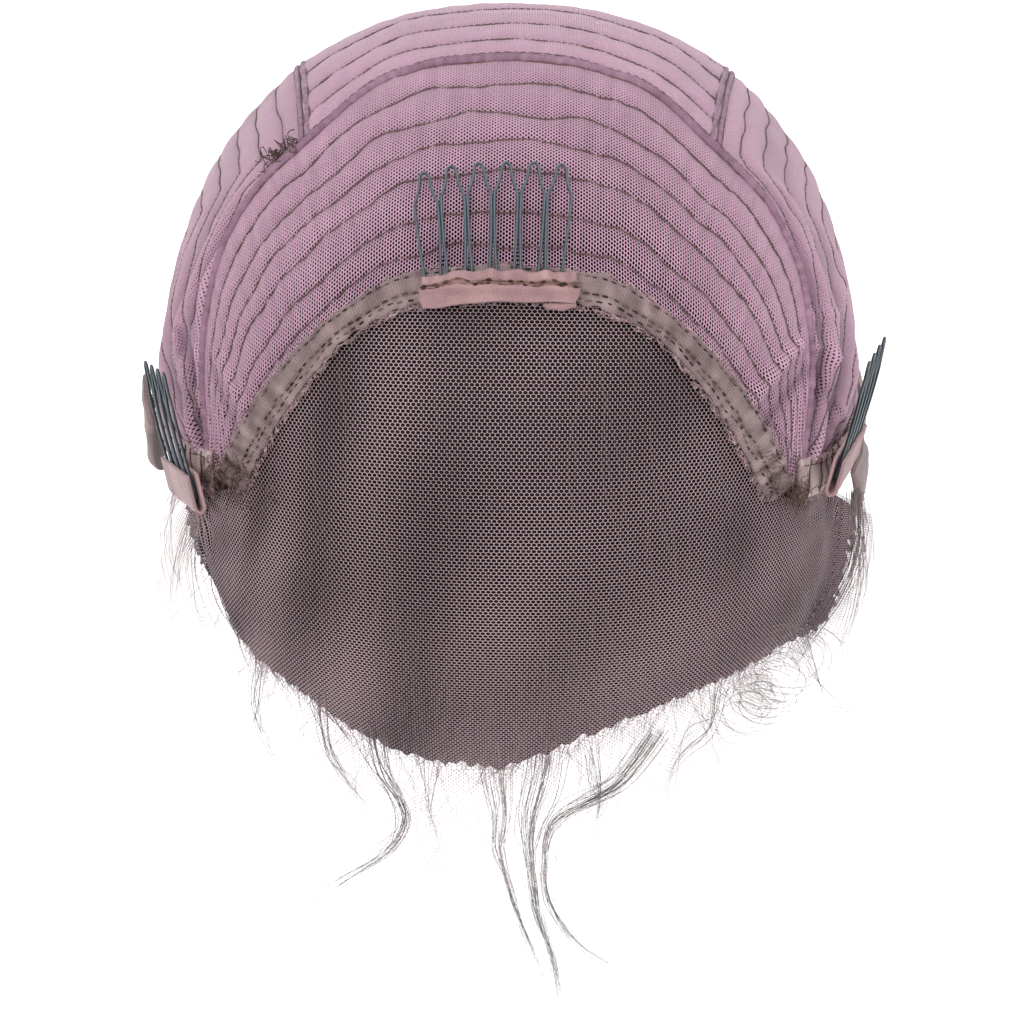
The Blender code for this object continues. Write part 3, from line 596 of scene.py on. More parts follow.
def sewn_run(angles, height, stitch, radius, seed):
    """A line of lock stitches on the cap: the thread dips into the cloth between stitches."""
    theta, alpha = angles
    line, place = resampled(lifted(alpha, theta, height), THREAD_STEP)
    out = outward(line)
    beat = np.abs(np.sin(math.pi * place / stitch + 0.6 * waves(place * 1000, seed, 0.05, 0.2)))
    line = line + out * (0.00022 * beat[:, None] - 0.00010)
    sideways = unit(np.cross(out, np.gradient(line, axis=0)))
    line = line + sideways * (0.00007 * waves(place * 1000, seed + 1, 0.3, 0.9))[:, None]
    # The thread's tone is painted darker where it dips into the cloth: painted shade.
    return line[None], radius * (0.62 + 0.5 * beat), 0.35 + 0.65 * beat


class Look:
    """A material's node tree, with short calls for the nodes it needs."""

    def __init__(self, name):
        self.material = bpy.data.materials.new(name)
        self.material.use_nodes = True
        self.tree = self.material.node_tree
        self.shader = self.tree.nodes["Principled BSDF"]
        self.output = self.tree.nodes["Material Output"]

    def feed(self, socket, value):
        if isinstance(value, bpy.types.NodeSocket):
            self.tree.links.new(value, socket)
        else:
            socket.default_value = value

    def add(self, kind, *values, **settings):
        node = self.tree.nodes.new(kind)
        for key, value in settings.items():
            setattr(node, key, value)
        for socket, value in zip(node.inputs, values):
            if value is not None:
                self.feed(socket, value)
        return node

    def maths(self, operation, *values):
        return self.add("ShaderNodeMath", *values, operation=operation).outputs[0]

    def vector(self, operation, *values):
        made = self.add("ShaderNodeVectorMath", *values, operation=operation)
        return made.outputs["Value" if operation in ("LENGTH", "DOT_PRODUCT") else "Vector"]

    def value(self, name):
        return self.add("ShaderNodeAttribute", attribute_name=name).outputs["Fac"]

    def uv(self):
        return self.add("ShaderNodeUVMap", uv_map="cloth").outputs["UV"]

    def noise(self, where, scale, detail):
        return self.add("ShaderNodeTexNoise", where, None, scale, detail).outputs["Fac"]

    def ramp(self, value, low, high, low_to=0.0, high_to=1.0):
        ends = (low, high, low_to, high_to)
        made = self.add("ShaderNodeMapRange", value, *ends, interpolation_type="SMOOTHSTEP")
        return made.outputs["Result"]

    def mix(self, share, a, b):
        unused = (None,) * 5
        return self.add("ShaderNodeMix", share, *unused, a, b, data_type="RGBA").outputs[2]

    def times(self, a, b):
        return self.maths("MULTIPLY", a, b)

    def bump(self, height, strength, distance):
        node = self.add("ShaderNodeBump")
        node.inputs["Strength"].default_value = strength
        node.inputs["Distance"].default_value = distance
        self.feed(node.inputs["Height"], height)
        self.tree.links.new(node.outputs["Normal"], self.shader.inputs["Normal"])

    def set(self, **values):
        for key, value in values.items():
            self.shader.inputs[key.replace("_", " ")].default_value = value

    def colour(self, value):
        self.feed(self.shader.inputs["Base Color"], value)

    def dressed(self, tone, dark, light, relief, strength, depth, **values):
        """Colours the shader by tone, sets its plain values and gives it a fine relief."""
        self.colour(self.mix(tone, dark, light))
        self.set(**values)
        self.bump(relief, strength, depth)
        return self.material

    def cut_out(self, solid):
        """Shows the shader where solid is 1, and nothing where it is 0."""
        clear = self.add("ShaderNodeBsdfTransparent")
        both = self.add("ShaderNodeMixShader")
        self.feed(both.inputs[0], solid)
        self.tree.links.new(clear.outputs[0], both.inputs[1])
        self.tree.links.new(self.shader.outputs[0], both.inputs[2])
        self.tree.links.new(both.outputs[0], self.output.inputs["Surface"])


def cell_distance(look, where, cell, hole=None, hexagon=None):
    """Distance from the nearest hole's middle in a staggered net, 1 at the hole's edge."""
    place = look.vector("DIVIDE", where, (cell[0], cell[1], 1.0))
    reach = 1 / (0.25 + ZIGZAG)
    found = []
    for shift in (100.0, 100.5):
        moved = look.vector("ADD", place, (shift, shift, 0.0))
        local = look.vector("SUBTRACT", look.vector("FRACTION", moved), (0.5, 0.5, 0.0))
        if hole:
            scaled = look.vector("MULTIPLY", local, (cell[0] / hole[0], cell[1] / hole[1], 0.0))
            found.append(look.vector("LENGTH", scaled))
            continue
        size = look.vector("ABSOLUTE", local)
        slanted = look.vector("DOT_PRODUCT", size, (4 * ZIGZAG / (0.25 + ZIGZAG), reach, 0.0))
        upright = look.vector("DOT_PRODUCT", size, (2.0, 0.0, 0.0))
        corner = look.maths("MAXIMUM", slanted, upright)
        round_one = look.vector("LENGTH", look.vector("MULTIPLY", local, (2.0, reach, 0.0)))
        blend = look.maths("MULTIPLY_ADD", corner, 0.65, look.times(round_one, 0.35))
        found.append(look.maths("DIVIDE", blend, hexagon))
    return look.maths("MINIMUM", *found)


def net_look(name, light, dark, cell, hole=None, hexagon=None):
    look = Look(name)
    where = look.uv()
    distance = cell_distance(look, where, cell, hole, hexagon)
    distance = look.maths("DIVIDE", distance, look.value("open"))
    solid = look.ramp(distance, 0.94, 1.06)
    speckle = look.noise(where, 0.9, 3.0)
    patches = look.noise(where, 0.05, 2.0)
    # The shade attribute is painted shade and highlight of rows, gathers and folds; speckle and patches are
    # the net's own uneven tone.
    share = look.times(look.value("shade"), look.ramp(speckle, 0.2, 0.8, 0.80, 1.0))
    share = look.times(share, look.ramp(patches, 0.25, 0.75, 0.86, 1.0))
    cloth = look.mix(share, colour(*dark), colour(*light))
    look.colour(look.mix(look.value("pale"), cloth, colour(250, 241, 240)))
    look.set(Roughness=0.75, Specular_IOR_Level=0.25, Sheen_Weight=0.25, Sheen_Roughness=0.5)
    look.bump(distance, 0.35, 0.00015)
    look.cut_out(solid)
    return look.material


def ribbon_look(name, light, dark, rib):
    look = Look(name)
    where = look.uv()
    parts = look.add("ShaderNodeSeparateXYZ", where)
    wobble = look.noise(where, 0.35, 2.0)
    along = look.maths("MULTIPLY_ADD", wobble, 0.35, parts.outputs["X"])
    ribs = look.maths("SINE", look.times(along, 6.2832 / rib))
    yarns = look.maths("SINE", look.times(parts.outputs["Y"], 6.2832 / 0.33))
    weave = look.maths("MULTIPLY_ADD", ribs, 0.5, look.times(yarns, 0.18))
    fuzz = look.noise(where, 2.2, 3.0)
    stains = look.noise(where, 0.11, 2.0)
    tone = look.maths("MULTIPLY_ADD", weave, 0.22, look.ramp(stains, 0.25, 0.75, 0.35, 0.80))
    tone = look.maths("ADD", tone, look.ramp(fuzz, 0.2, 0.8, -0.12, 0.12))
    # The shade attribute is painted shade and highlight of puckers, gathers and creases.
    tone = look.times(tone, look.value("shade"))
    return look.dressed(tone, colour(*dark), colour(*light), weave, 0.5, 0.00012,
                        Roughness=0.68, Specular_IOR_Level=0.3, Sheen_Weight=0.3, Sheen_Roughness=0.4)


def thread_look(name, light, dark):
    look = Look(name)
    where = look.uv()
    parts = look.add("ShaderNodeSeparateXYZ", where)
    twist = look.maths("MULTIPLY_ADD", parts.outputs["X"], 14.0, parts.outputs["Y"])
    strands = look.maths("SINE", look.times(twist, 2.0))
    blotch = look.noise(where, 0.8, 2.0)
    tone = look.maths("MULTIPLY_ADD", strands, 0.12, look.value("tone"))
    tone = look.maths("ADD", tone, look.ramp(blotch, 0.25, 0.75, -0.25, 0.2))
    return look.dressed(tone, colour(*dark), colour(*light), strands, 0.3, 0.00005,
                        Roughness=0.75, Specular_IOR_Level=0.3)


def wire_look():
    look = Look("coated_wire")
    where = look.uv()
    # The facing tone paints the wire lighter on its side away from the cap and darker towards it: painted
    # highlight and painted shade.
    painted_outward_light = look.ramp(look.value("tone"), 0.45, 1.0)
    film = look.noise(where, 0.6, 3.0)
    tone = look.times(painted_outward_light, look.ramp(film, 0.2, 0.8, 0.65, 1.0))
    return look.dressed(tone, (0.008, 0.012, 0.016, 1), (0.125, 0.165, 0.200, 1),
                        look.noise(where, 3.0, 3.0), 0.12, 0.0001,
                        Roughness=0.38, Specular_IOR_Level=0.4, Coat_Weight=0.2, Coat_Roughness=0.3)


def hair_look(name, dark, light):
    look = Look(name)
    streaks = look.noise(look.vector("MULTIPLY", look.uv(), (0.04, 2.4, 1.0)), 1.0, 3.0)
    tone = look.times(look.value("tone"), look.ramp(streaks, 0.3, 0.75, 0.35, 1.0))
    return look.dressed(tone, dark, light, streaks, 0.25, 0.0002, Roughness=0.42, Specular_IOR_Level=0.3)


def lining_look():
    """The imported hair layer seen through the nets, with its strands running from front to back."""
    look = Look("hair_layer")
    where = look.uv()
    bent = look.noise(where, 0.04, 2.0)
    parts = look.add("ShaderNodeSeparateXYZ", where)
    across = look.maths("MULTIPLY_ADD", bent, 16.0, parts.outputs["X"])
    along = look.times(parts.outputs["Y"], 0.07)
    place = look.add("ShaderNodeCombineXYZ", look.times(across, 2.6), along).outputs[0]
    streaks = look.noise(place, 1.0, 4.0)
    broad = look.noise(look.vector("MULTIPLY", place, (0.12, 1.0, 1.0)), 1.0, 2.0)
    tone = look.times(look.ramp(streaks, 0.52, 0.80), look.ramp(broad, 0.35, 0.7, 0.25, 1.0))
    return look.dressed(tone, (0.0035, 0.003, 0.0035, 1), (0.045, 0.028, 0.022, 1), streaks, 0.6, 0.0004,
                        Roughness=0.6, Specular_IOR_Level=0.15)


def floor_look():
    look = Look("pale_floor")
    place = look.add("ShaderNodeTexCoord").outputs["Object"]
    grain = look.noise(place, 30.0, 2.0)
    look.colour(look.mix(grain, (0.93, 0.93, 0.935, 1), (0.95, 0.95, 0.95, 1)))
    look.set(Roughness=0.9, Specular_IOR_Level=0.1, Emission_Color=(1, 1, 1, 1), Emission_Strength=0.75)
    return look.material


def colour(*levels):
    """A shader colour from an 8-bit one."""
    shares = [level / 255 for level in levels]
    return tuple(c / 12.92 if c <= 0.04045 else ((c + 0.055) / 1.055) ** 2.4 for c in shares) + (1.0,)


STRETCH = net_look("stretch_net", (214, 172, 193), (112, 78, 102), STRETCH_CELL, hole=STRETCH_HOLE)
LACE = net_look("lace_net", (212, 184, 190), (132, 108, 116), LACE_CELL, hexagon=LACE_HOLE)
SEAM_CLOTH = ribbon_look("seam_cloth", (190, 150, 172), (110, 78, 98), 0.5)
TAUPE = ribbon_look("taupe_ribbon", (168, 144, 144), (72, 56, 58), 0.62)
BAND = ribbon_look("band_ribbon", (220, 194, 194), (136, 112, 114), 0.62)
PINK = ribbon_look("pink_ribbon", (200, 161, 163), (122, 92, 96), 0.42)
BROWN_THREAD = thread_look("brown_thread", (126, 100, 92), (46, 34, 34))
PALE_THREAD = thread_look("pale_thread", (232, 200, 204), (150, 116, 118))
TAN_THREAD = thread_look("tan_thread", (176, 136, 104), (84, 60, 48))
WIRE = wire_look()
LINING = lining_look()
HAIR = hair_look("hair_strands", (0.004, 0.0035, 0.004, 1), (0.075, 0.045, 0.034, 1))
WISP = hair_look("loose_hair", (0.070, 0.052, 0.058, 1), (0.42, 0.33, 0.34, 1))


def placed(piece, slot, *nodes):
    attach(piece, "root")
    if nodes:
        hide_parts(*nodes)
    return piece


def tiers(position, rows, height):
    """Puffed bands between sewn rows: their height, and how close each point is to a row."""
    relief, closeness = np.zeros(position.shape), np.zeros(position.shape)
    for low, high in zip(rows, rows[1:]):
        t = (position - low) / (high - low)
        inside = (t >= 0) & (t <= 1)
        bulge = np.sin(math.pi * np.clip(t, 0, 1)) ** 0.55
        relief = np.where(inside, height * bulge, relief)
        closeness = np.where(inside, 1 - bulge, closeness)
    return relief, closeness


def stretch_net(name, angles, height, shade, opened, node):
    """A closed sheet of stretch net at a height over the cap."""
    theta, alpha = angles
    both = [lifted(alpha, theta, height + half) for half in (NET_THICKNESS / 2, -NET_THICKNESS / 2)]
    net = closed_grid(name, *both, STRETCH, net_uv(alpha, theta), {"shade": shade, "open": opened})
    return placed(net, "stretch_net", node)


def strip(name, upper, lower, look, place, shade, *nodes):
    """A closed strip of ribbon; place holds the millimetres along and across it."""
    uv = np.stack(np.broadcast_arrays(*place), -1)
    slot = "grosgrain_pink" if look is PINK else "grosgrain_taupe"
    return placed(closed_grid(name, upper, lower, look, uv, {"shade": shade}), slot, *nodes)


def laid(angles, top, base):
    """The upper and lower grids of a strip that lies on the cap."""
    theta, alpha = angles
    return lifted(alpha, theta, top), lifted(alpha, theta, base + 0 * top)


def edge_rise(width, *runs):
    """1 inside a strip and 0 at its edges; each run is a share across it and its size."""
    nearest = np.minimum.reduce(np.broadcast_arrays(*(np.minimum(t, 1 - t) * size for t, size in runs)))
    return 1 - np.exp(-nearest / width)


def front_row(k, s):
    """Where sewn row k runs at a station, with its own wander."""
    if k in (0, len(FRONT_ROWS) - 1):
        return np.full(np.shape(s), FRONT_ROWS[k])
    return FRONT_ROWS[k] + 0.010 * waves(s, 40 + k, 0.25, 1.3) + 0.004 * waves(s, 60 + k, 1.5, 4.0)


def build_crown_front():
    r, s = grid(104, 200, -6, 6)
    lines = [front_row(k, s) for k in range(len(FRONT_ROWS))]
    position = 0 * (r + s)
    for k, (low, high) in enumerate(zip(lines, lines[1:])):
        t = (r - low) / (high - low)
        position = np.where((t >= 0) & (t <= 1), k + t, position)
    relief, closeness = tiers(position, range(len(lines)), WEFT_PUFF * 1.25)
    gathers = waves(s, 5, 3.0, 7.5, y=r * 0.6)
    relief = relief * (1 + 0.25 * waves(s, 6, 0.2, 1.0, y=r * 3)) + 0.00016 * gathers * (0.3 + closeness)
    theta, alpha = angles = crown_front_angles(r, s)
    fold, tone, _ = fold_marks(alpha, theta, CROWN_FOLDS)
    # Painted shade and highlight: darker near the sewn rows and in the fold shadows, lighter on the fold
    # ridges, lighter and darker with the gathers.
    shade = 1 - 0.55 * closeness ** 2 + 0.10 * gathers + tone
    middle = bell(theta, 0, 30) * bell(alpha, 84, 26)
    opened = 0.80 + 0.30 * (1 - r) ** 1.5 + 0.10 * middle + 0.06 * waves(s, 7, 0.1, 0.5, y=r)
    height = NET_HEIGHT + relief + fold * smooth(r / 0.06)
    return stretch_net("crown_front_net", angles, height, shade, opened, "crown_front_panel")


def build_crown_back():
    r, c = grid(130, 84, -1, 1)
    position = r * BACK_ROW_COUNT + 0.10 * waves(c * 2, 9, 0.3, 1.4, y=r)
    position = np.clip(position, 0, BACK_ROW_COUNT)
    relief, closeness = tiers(position, range(BACK_ROW_COUNT + 1), WEFT_PUFF * 1.2)
    gathers = waves(c * 2, 15, 2.0, 6.0, y=r * 2)
    # The shade is painted: darker near the sewn rows, lighter and darker with the gathers.
    return stretch_net("crown_back_net", back_angles(r, c), NET_HEIGHT + relief + 0.00014 * gathers,
                       1 - 0.5 * closeness ** 2 + 0.08 * gathers, 0.56 + 0.07 * gathers, "crown_back_panel")


def side_length(station):
    """Length of a side panel from its inner seam to its outer edge at each station, in metres."""
    keys = np.linspace(0, SIDE_BACK_END, 49)
    across = np.linspace(0, 1, 40)[:, None]
    theta, alpha = side_panel_angles(keys[None, :], across, 1)
    steps = np.linalg.norm(np.diff(cap_point(alpha, theta), axis=0), axis=-1)
    return curve(keys, steps.sum(0), station)


def side_wander(station, seed):
    """How far the sewn rows of a side net run from their even places."""
    return 0.016 * waves(station, seed, 0.1, 0.5) + 0.006 * waves(station, seed + 3, 0.8, 1.6)


def side_relief(station, row, seed):
    """Rolls between sewn rows, and soft folds that run together towards the ear, with painted shade: darker
    near the rows and in the hollows, lighter on the sharp crests.
    """
    roll, closeness = tiers(np.clip(row + side_wander(station, seed), 0, 1), SIDE_ROWS, 0.0010)
    length = side_length(station)
    wide = mixed(BAND_WIDTH, BAND_EAR_WIDTH, smooth((station - 1.5) / 3.0))
    fade = smooth(row * length / 0.004) * smooth(((1 - row) * length - wide * 0.55) / 0.007)
    front = 1 - smooth((station - 2.0) / 4.0)
    bent = 1.1 * waves(station, seed + 5, 0.10, 0.35) + 0.7 * waves(station, seed + 6, 0.3, 0.8, y=row * 2)
    fold = 0.5 + 0.5 * np.sin(2 * math.pi * (3.1 * row + 0.13 * station) + bent)
    sharp = 0.5 + 0.5 * np.sin(2 * math.pi * (6.3 * row - 0.21 * station) + 1.7 * bent)
    outside = smooth((row - 0.55) / 0.25)
    deep = (0.0004 + 0.0019 * front) * (1 - 0.75 * outside)
    height = (roll * 0.75 * (0.25 + 0.75 * fade) - 0.0006 * outside * fade
              + fade * (deep * (fold ** 1.5 - 0.30) + 0.0006 * front * sharp ** 3))
    hollow = (1 - fold) ** 1.5 * (0.25 + 0.75 * front)
    # Painted shade and highlight: darker near the sewn rows and in the fold hollows, lighter on the sharp
    # crests.
    shade = 1.03 - 0.45 * closeness ** 2 - 0.75 * fade * hollow + 0.10 * fade * front * sharp ** 3
    return height, shade


def side_net_shape(station, r, side, seed):
    """Angles, height, painted shade and hollows of a side net; its local folds fade out at its seams."""
    relief, shade = side_relief(station, r, seed)
    theta, alpha = side_panel_angles(station, r, side)
    marks, tone, hollow = fold_marks(alpha, theta, LEFT_FOLDS if side < 0 else RIGHT_FOLDS)
    marks = marks * smooth(r / 0.05) * smooth((1 - r) / 0.10)
    return (theta, alpha), relief + marks, shade + tone, hollow


def build_side_panel(side_name, side, seed):
    r, station = grid(100, 150, 0, SIDE_BACK_END)
    angles, relief, shade, hollow = side_net_shape(station, r, side, seed)
    opened = (0.62 + 0.26 * bell(station, 0.5, 2.2) * (1 - 0.6 * r) + 0.16 * hollow
              + 0.06 * waves(station, seed + 2, 0.2, 0.8, y=r))
    return stretch_net("side_net_" + side_name, angles, NET_HEIGHT + relief, shade, opened,
                       "side_panel_" + side_name)


def hair_under_margin(s):
    """Rows of the lace beyond the hairline that still have dark hair under them, at the temples."""
    return 0.13 * smooth((s - 4.6) / 2.0) + 0.07 * smooth((-s - 5.5) / 2.0)


def build_lace():
    r, s = grid(104, 176, -9, 9)
    ear = smooth((np.abs(s) - 5.5) / 2.5)
    gathered = ear * np.where(s < 0, 1.0, 0.5) * smooth(r / 0.15)
    fold = waves(r * 5, 21, 0.7, 1.8, y=s * 0.5)
    loose = 0.0009 * waves(s, 22, 0.15, 0.7) + 0.0005 * waves(s, 23, 0.8, 2.0)
    height = (LACE_HEIGHT + 0.00010 * waves(s, 20, 0.2, 0.8, y=r * 4) + 0.00085 * gathered * fold
              + smooth((r - HAIRLINE_ROW) / 0.10) * loose)
    upper, alpha, theta = lace_points(s, r, height + LACE_THICKNESS / 2)
    lower, _, _ = lace_points(s, r, height - LACE_THICKNESS / 2)
    middle = (upper + lower) / 2
    past = smooth((r - HAIRLINE_ROW) / 0.02)
    middle_alpha = np.degrees(np.arctan2(middle[..., 2] - EAR_LINE_Z, EAR_LINE_Y - middle[..., 1]))
    uv = net_uv(mixed(alpha, middle_alpha, past), mixed(theta, theta_of_x(middle[..., 0]), past), LACE_MIDDLE)
    # Painted shade: darker where the lace is gathered beside the ears; the waves are uneven tone.
    shade = 0.95 + 0.05 * waves(s, 25, 0.3, 1.0, y=r * 5) - 0.25 * gathered * (0.5 + 0.5 * fold)
    opened = 1.0 + 0.04 * waves(s, 26, 0.2, 0.8, y=r * 4) - 0.08 * gathered
    beyond = HAIRLINE_ROW + 0.005 + hair_under_margin(s)
    pale = 0.85 * smooth((r - beyond + 0.012 * waves(s, 27, 0.8, 3.0)) / 0.05)
    net = closed_grid("lace_net", upper, lower, LACE, uv, {"shade": shade, "open": opened, "pale": pale})
    return placed(net, "lace", "lace_front_panel")


def build_ribbon():
    row, s = grid(17, 400, -6, 6)
    ends = smooth((np.abs(s) - 3.0) / 3.0)
    theta, alpha = ribbon_line(s, row)
    alpha = (alpha + 0.16 * waves(s, 33, 0.8, 3.2) * smooth(1 - row / 0.3)
             - 0.22 * waves(s, 34, 1.0, 4.0) * smooth((row - 0.8) / 0.2))
    gathers = waves(s, 31, 1.6, 4.2, y=row * 0.25)
    fine = waves(s, 36, 4.0, 8.0, y=row * 0.3)
    pucker = RIBBON_PUCKER_DEPTH * ((0.35 + 1.2 * ends) * gathers + 0.35 * fine)
    step = smooth((row - 0.62) / 0.05)
    seams = bell(row, 0.14, 0.045) + 1.3 * bell(row, 0.655, 0.04)
    rise = TRIM_THICKNESS * (0.45 + 0.55 * edge_rise(0.03, (row, 1)))
    top = RIBBON_BASE + rise + pucker - 0.00038 * seams - 0.00030 * step + 0.0002
    length = lengths(cap_point(*reversed(ribbon_line(s, 0.5)))[0]) * 1000
    # Painted shade and highlight: lighter and darker with the gathers, darker in the sewn seams, and lighter
    # below the step.
    shade = 1.02 + (0.22 + 0.14 * ends) * gathers + 0.16 * fine - 0.20 * seams + 0.10 * step
    return strip("ribbon_arc", *laid((theta, alpha), top, RIBBON_BASE), TAUPE, (length[None, :], row * 6.2),
                 shade, "lace_seam_ribbon")


def build_band():
    rows = 9
    share, station = np.broadcast_arrays(*grid(rows, 520, -RIM_LAST, RIM_LAST))
    width = -0.0004 + share * (band_width(station) + 0.0004)
    gathers = waves(station, 35, 0.9, 3.2, y=share * 0.4)
    rise = TRIM_THICKNESS * (0.45 + 0.55 * edge_rise(0.04, (share, 1)))
    top = BAND_BASE + rise + RIBBON_PUCKER_DEPTH * 1.1 * gathers
    upper, lower = band_points(station, width, top), band_points(station, width, BAND_BASE + 0 * top)
    place = (lengths(upper[rows // 2])[None, :] * 1000, share * BAND_WIDTH * 1000)
    # The shade is painted: lighter and darker with the gathers.
    return strip("edge_band", upper, lower, BAND, place, 1 + 0.28 * gathers, "perimeter_band")


def build_ear_tab(side_name, y, z, length, half_width, tuck_in):
    side = -1 if side_name == "left" else 1
    t, across = grid(44, 25, -1, 1)
    rounding = np.maximum(0.0, (t - 0.45) / 0.55)
    half = half_width * np.maximum(0.16, np.sqrt(1 - rounding ** 2)) * (0.8 + 0.2 * smooth(t / 0.3))
    spot_y, spot_z = y - 0.004 * t + across * half, z - length * t + 0 * across
    alpha, theta = angles_beside(spot_y, spot_z, side)
    base = np.abs(cap_point(alpha, theta)[..., 0])
    out = TAB_LIFT - tuck_in * smooth(2 * t - 1) - TAB_CURL * across * across * t
    puff = 0.0003 * waves(spot_y * 1000, 71, 0.05, 0.2, y=spot_z * 1000)
    rim = 0.5 + 0.5 * smooth(np.minimum(1 - np.abs(across), np.minimum(1 - t, t + 0.2)) / 0.12)
    upper, lower = (np.stack([side * (base + out + rise), spot_y, spot_z], -1)
                    for rise in ((TAB_THICKNESS + puff) * rim, 0))
    # The shade is painted: lighter on the puffs and darker between them.
    return strip("ear_tab_cloth_" + side_name, upper, lower, TAUPE, (t * length * 1000, across * half * 1000),
                 0.9 + 250 * puff, "ear_tab_" + side_name)


def comb_path(loops, lean, drops=None):
    """The bent wire of a comb: across and up in metres, with its outer legs leaning and its loops dropped."""
    w, foot = LOOP_HALF_WIDTH, FOOT_HALF_WIDTH
    leg = ((-foot, -0.0012), (-w, 0.0110), (-w, 0.0200), (-0.0022, 0.0222), (-0.0015, 0.0247),
           (-0.00115, 0.0270), (-0.00090, 0.0285))
    shape = leg + ((0.0, LOOP_HEIGHT),) + tuple((-u, v) for u, v in reversed(leg))
    path = []
    for k in range(loops):
        middle = (k - (loops - 1) / 2) * LOOP_PITCH
        drop = drops[k] if drops else 0.0
        for n, (u, v) in enumerate(shape):
            shift = 0.0
            if k == 0 and n < 3:
                shift = lean[0] * (1 - max(0.0, v) / LEAN_REACH)
            if k == loops - 1 and n > len(shape) - 4:
                shift = lean[1] * (1 - max(0.0, v) / LEAN_REACH)
            path.append((middle + u + shift, v - drop * smooth(v / DROP_REACH), 0.0))
        if k < loops - 1:
            path.append((middle + LOOP_PITCH / 2, BETWEEN_LOOPS_Y, 0.0))
    return spline(path, 6)


def add_wire(name, line):
    """A wire whose tone says how far each side of it faces away from the cap; the material paints the outward
    side lighter and the side towards the cap darker, as painted highlight and painted shade.
    """
    sides = 12
    wire = add_tubes(name, [(line[None], WIRE_RADIUS, 0.0)], WIRE, sides)
    points = np.zeros(len(wire.data.vertices) * 3, np.float32)
    wire.data.vertices.foreach_get("co", points)
    around = unit(points.reshape(len(line), sides, 3) - line[:, None])
    facing = (around * outward(line)[:, None]).sum(-1)
    wire.data.attributes["tone"].data.foreach_set("value", facing.astype(np.float32).ravel())
    return wire


def build_front_comb():
    path = comb_path(FRONT_LOOPS, OUTER_LEG_LEAN, FRONT_LOOP_DROPS)
    per_metre = 180 / math.pi / float(profile_radius(92))
    alpha = COMB_FOOT_ALPHA + path[:, 1] * per_metre
    loops = np.cos(2 * math.pi * path[:, 0] / LOOP_PITCH)
    rise = np.clip(path[:, 1] / LOOP_HEIGHT, 0, 1)
    path[:, 0] = path[:, 0] * mixed(FRONT_COMB_FAN, 1.0, rise) + 0.0007 * (1 - rise)
    lift = COMB_LIFT + WEFT_PUFF + 0.00012 * loops
    line = lifted(alpha, theta_of_x(FRONT_COMB_X + path[:, 0]), lift)
    return placed(add_wire("front_comb_wire", line), "comb_wire", "comb_front")


def tape_alpha(c, t):
    """Where the front tape lies: its lower edge hangs at the left, and its upper edge is gathered."""
    low = (82.70 - 0.66 * smooth((0.45 - c) / 0.45) + 0.09 * smooth((c - 0.5) / 0.3)
           + 0.07 * waves(c * FRONT_TAPE_MM, 83, 0.04, 0.12))
    high = 85.85 - 0.75 * smooth((0.30 - c) / 0.30) + 0.18 * waves(c * FRONT_TAPE_MM, 81, 0.06, 0.24)
    return mixed(low, high, t)


def tape_seam(c):
    """Share of the front tape's height where its stitches run."""
    return 0.60 + 0.06 * smooth((0.5 - c) / 0.4) - 0.05 * smooth((c - 0.7) / 0.3) + 0.02 * np.sin(8 * c)


def build_front_tape():
    on_ribbon = RIBBON_BASE + TRIM_THICKNESS + RIBBON_PUCKER_DEPTH + TAPE_GAP
    t, c = grid(34, 130)
    wide = 0.0008 * smooth(t / 0.3) * (1 - smooth((t - 0.5) / 0.3))
    theta = theta_of_x(mixed(FRONT_TAPE_X[0] - wide, FRONT_TAPE_X[1] + wide, c))
    alpha = tape_alpha(c, t)
    base = curve((82.5, 83.4, 84.0, 85.4, 87.2), (on_ribbon,) * 2 + (TAPE_SEAT,) * 3, alpha) + 0.0002
    seam = tape_seam(c)
    crease = bell(t, seam, 0.06)
    above = smooth((t - seam) / 0.15)
    gathers = waves(c * FRONT_TAPE_MM, 82, 0.10, 0.34, y=t * 1.5)
    ripple = 0.00042 * gathers * above + 0.00012 * waves(c * FRONT_TAPE_MM, 84, 0.04, 0.15, y=t * 2)
    rise = TAPE_THICKNESS * (0.55 + 0.45 * edge_rise(0.35, (t, 8.8), (c, 38)))
    top = base + rise + ripple - 0.00048 * crease
    # Painted shade and highlight: darker in the crease and a little darker above the seam, lighter and darker
    # with the ripples.
    shade = 1.05 - 0.42 * crease + 700 * ripple - 0.10 * above
    return strip("front_comb_tape", *laid((theta, alpha), top, base), PINK, (c * FRONT_TAPE_MM, t * 8.4),
                 shade, "comb_tape_front")


def build_tape_flap():
    """The loose fold that shows under the front tape's right end."""
    t, c = grid(10, 44)
    theta = theta_of_x(mixed(0.0085, 0.0158, c) + 0 * t)
    low = 82.15 + 0.30 * smooth((c - 0.55) / 0.4) + 0.22 * smooth((0.15 - c) / 0.15) + 0.06 * np.sin(7 * c)
    alpha = mixed(low, 82.75 + 0.15 * c, t)
    base = WEFT_PUFF * 0.3 + 0.0010 + 0.0009 * smooth((alpha - 82.0) / 0.8)
    edge = edge_rise(0.3, (t, 2.2), (c, 9.2))
    # The shade is painted darker towards the flap's thin edges.
    return strip("front_tape_flap", *laid((theta, alpha), base + 0.0006 * (0.3 + 0.7 * edge), base), PINK,
                 (c * 9.2 + 40.0, t * 2.2), 0.82 + 0.25 * edge)


def side_comb_frame(side_name, y, z, height, foot, tooth):
    side = -1 if side_name == "left" else 1
    alpha, theta = angles_beside(y, z, side)
    normal = cap_normal(alpha, theta)
    across = unit(np.array(foot, float))
    along = np.array(tooth, float)
    along = unit(along - across * along.dot(across))
    out = unit(np.cross(across, along))
    if out.dot(normal) < 0:
        out = -out
    lift = BAND_TOP + RIBBON_PUCKER_DEPTH + height
    return cap_point(alpha, theta) + normal * lift, across, along, out


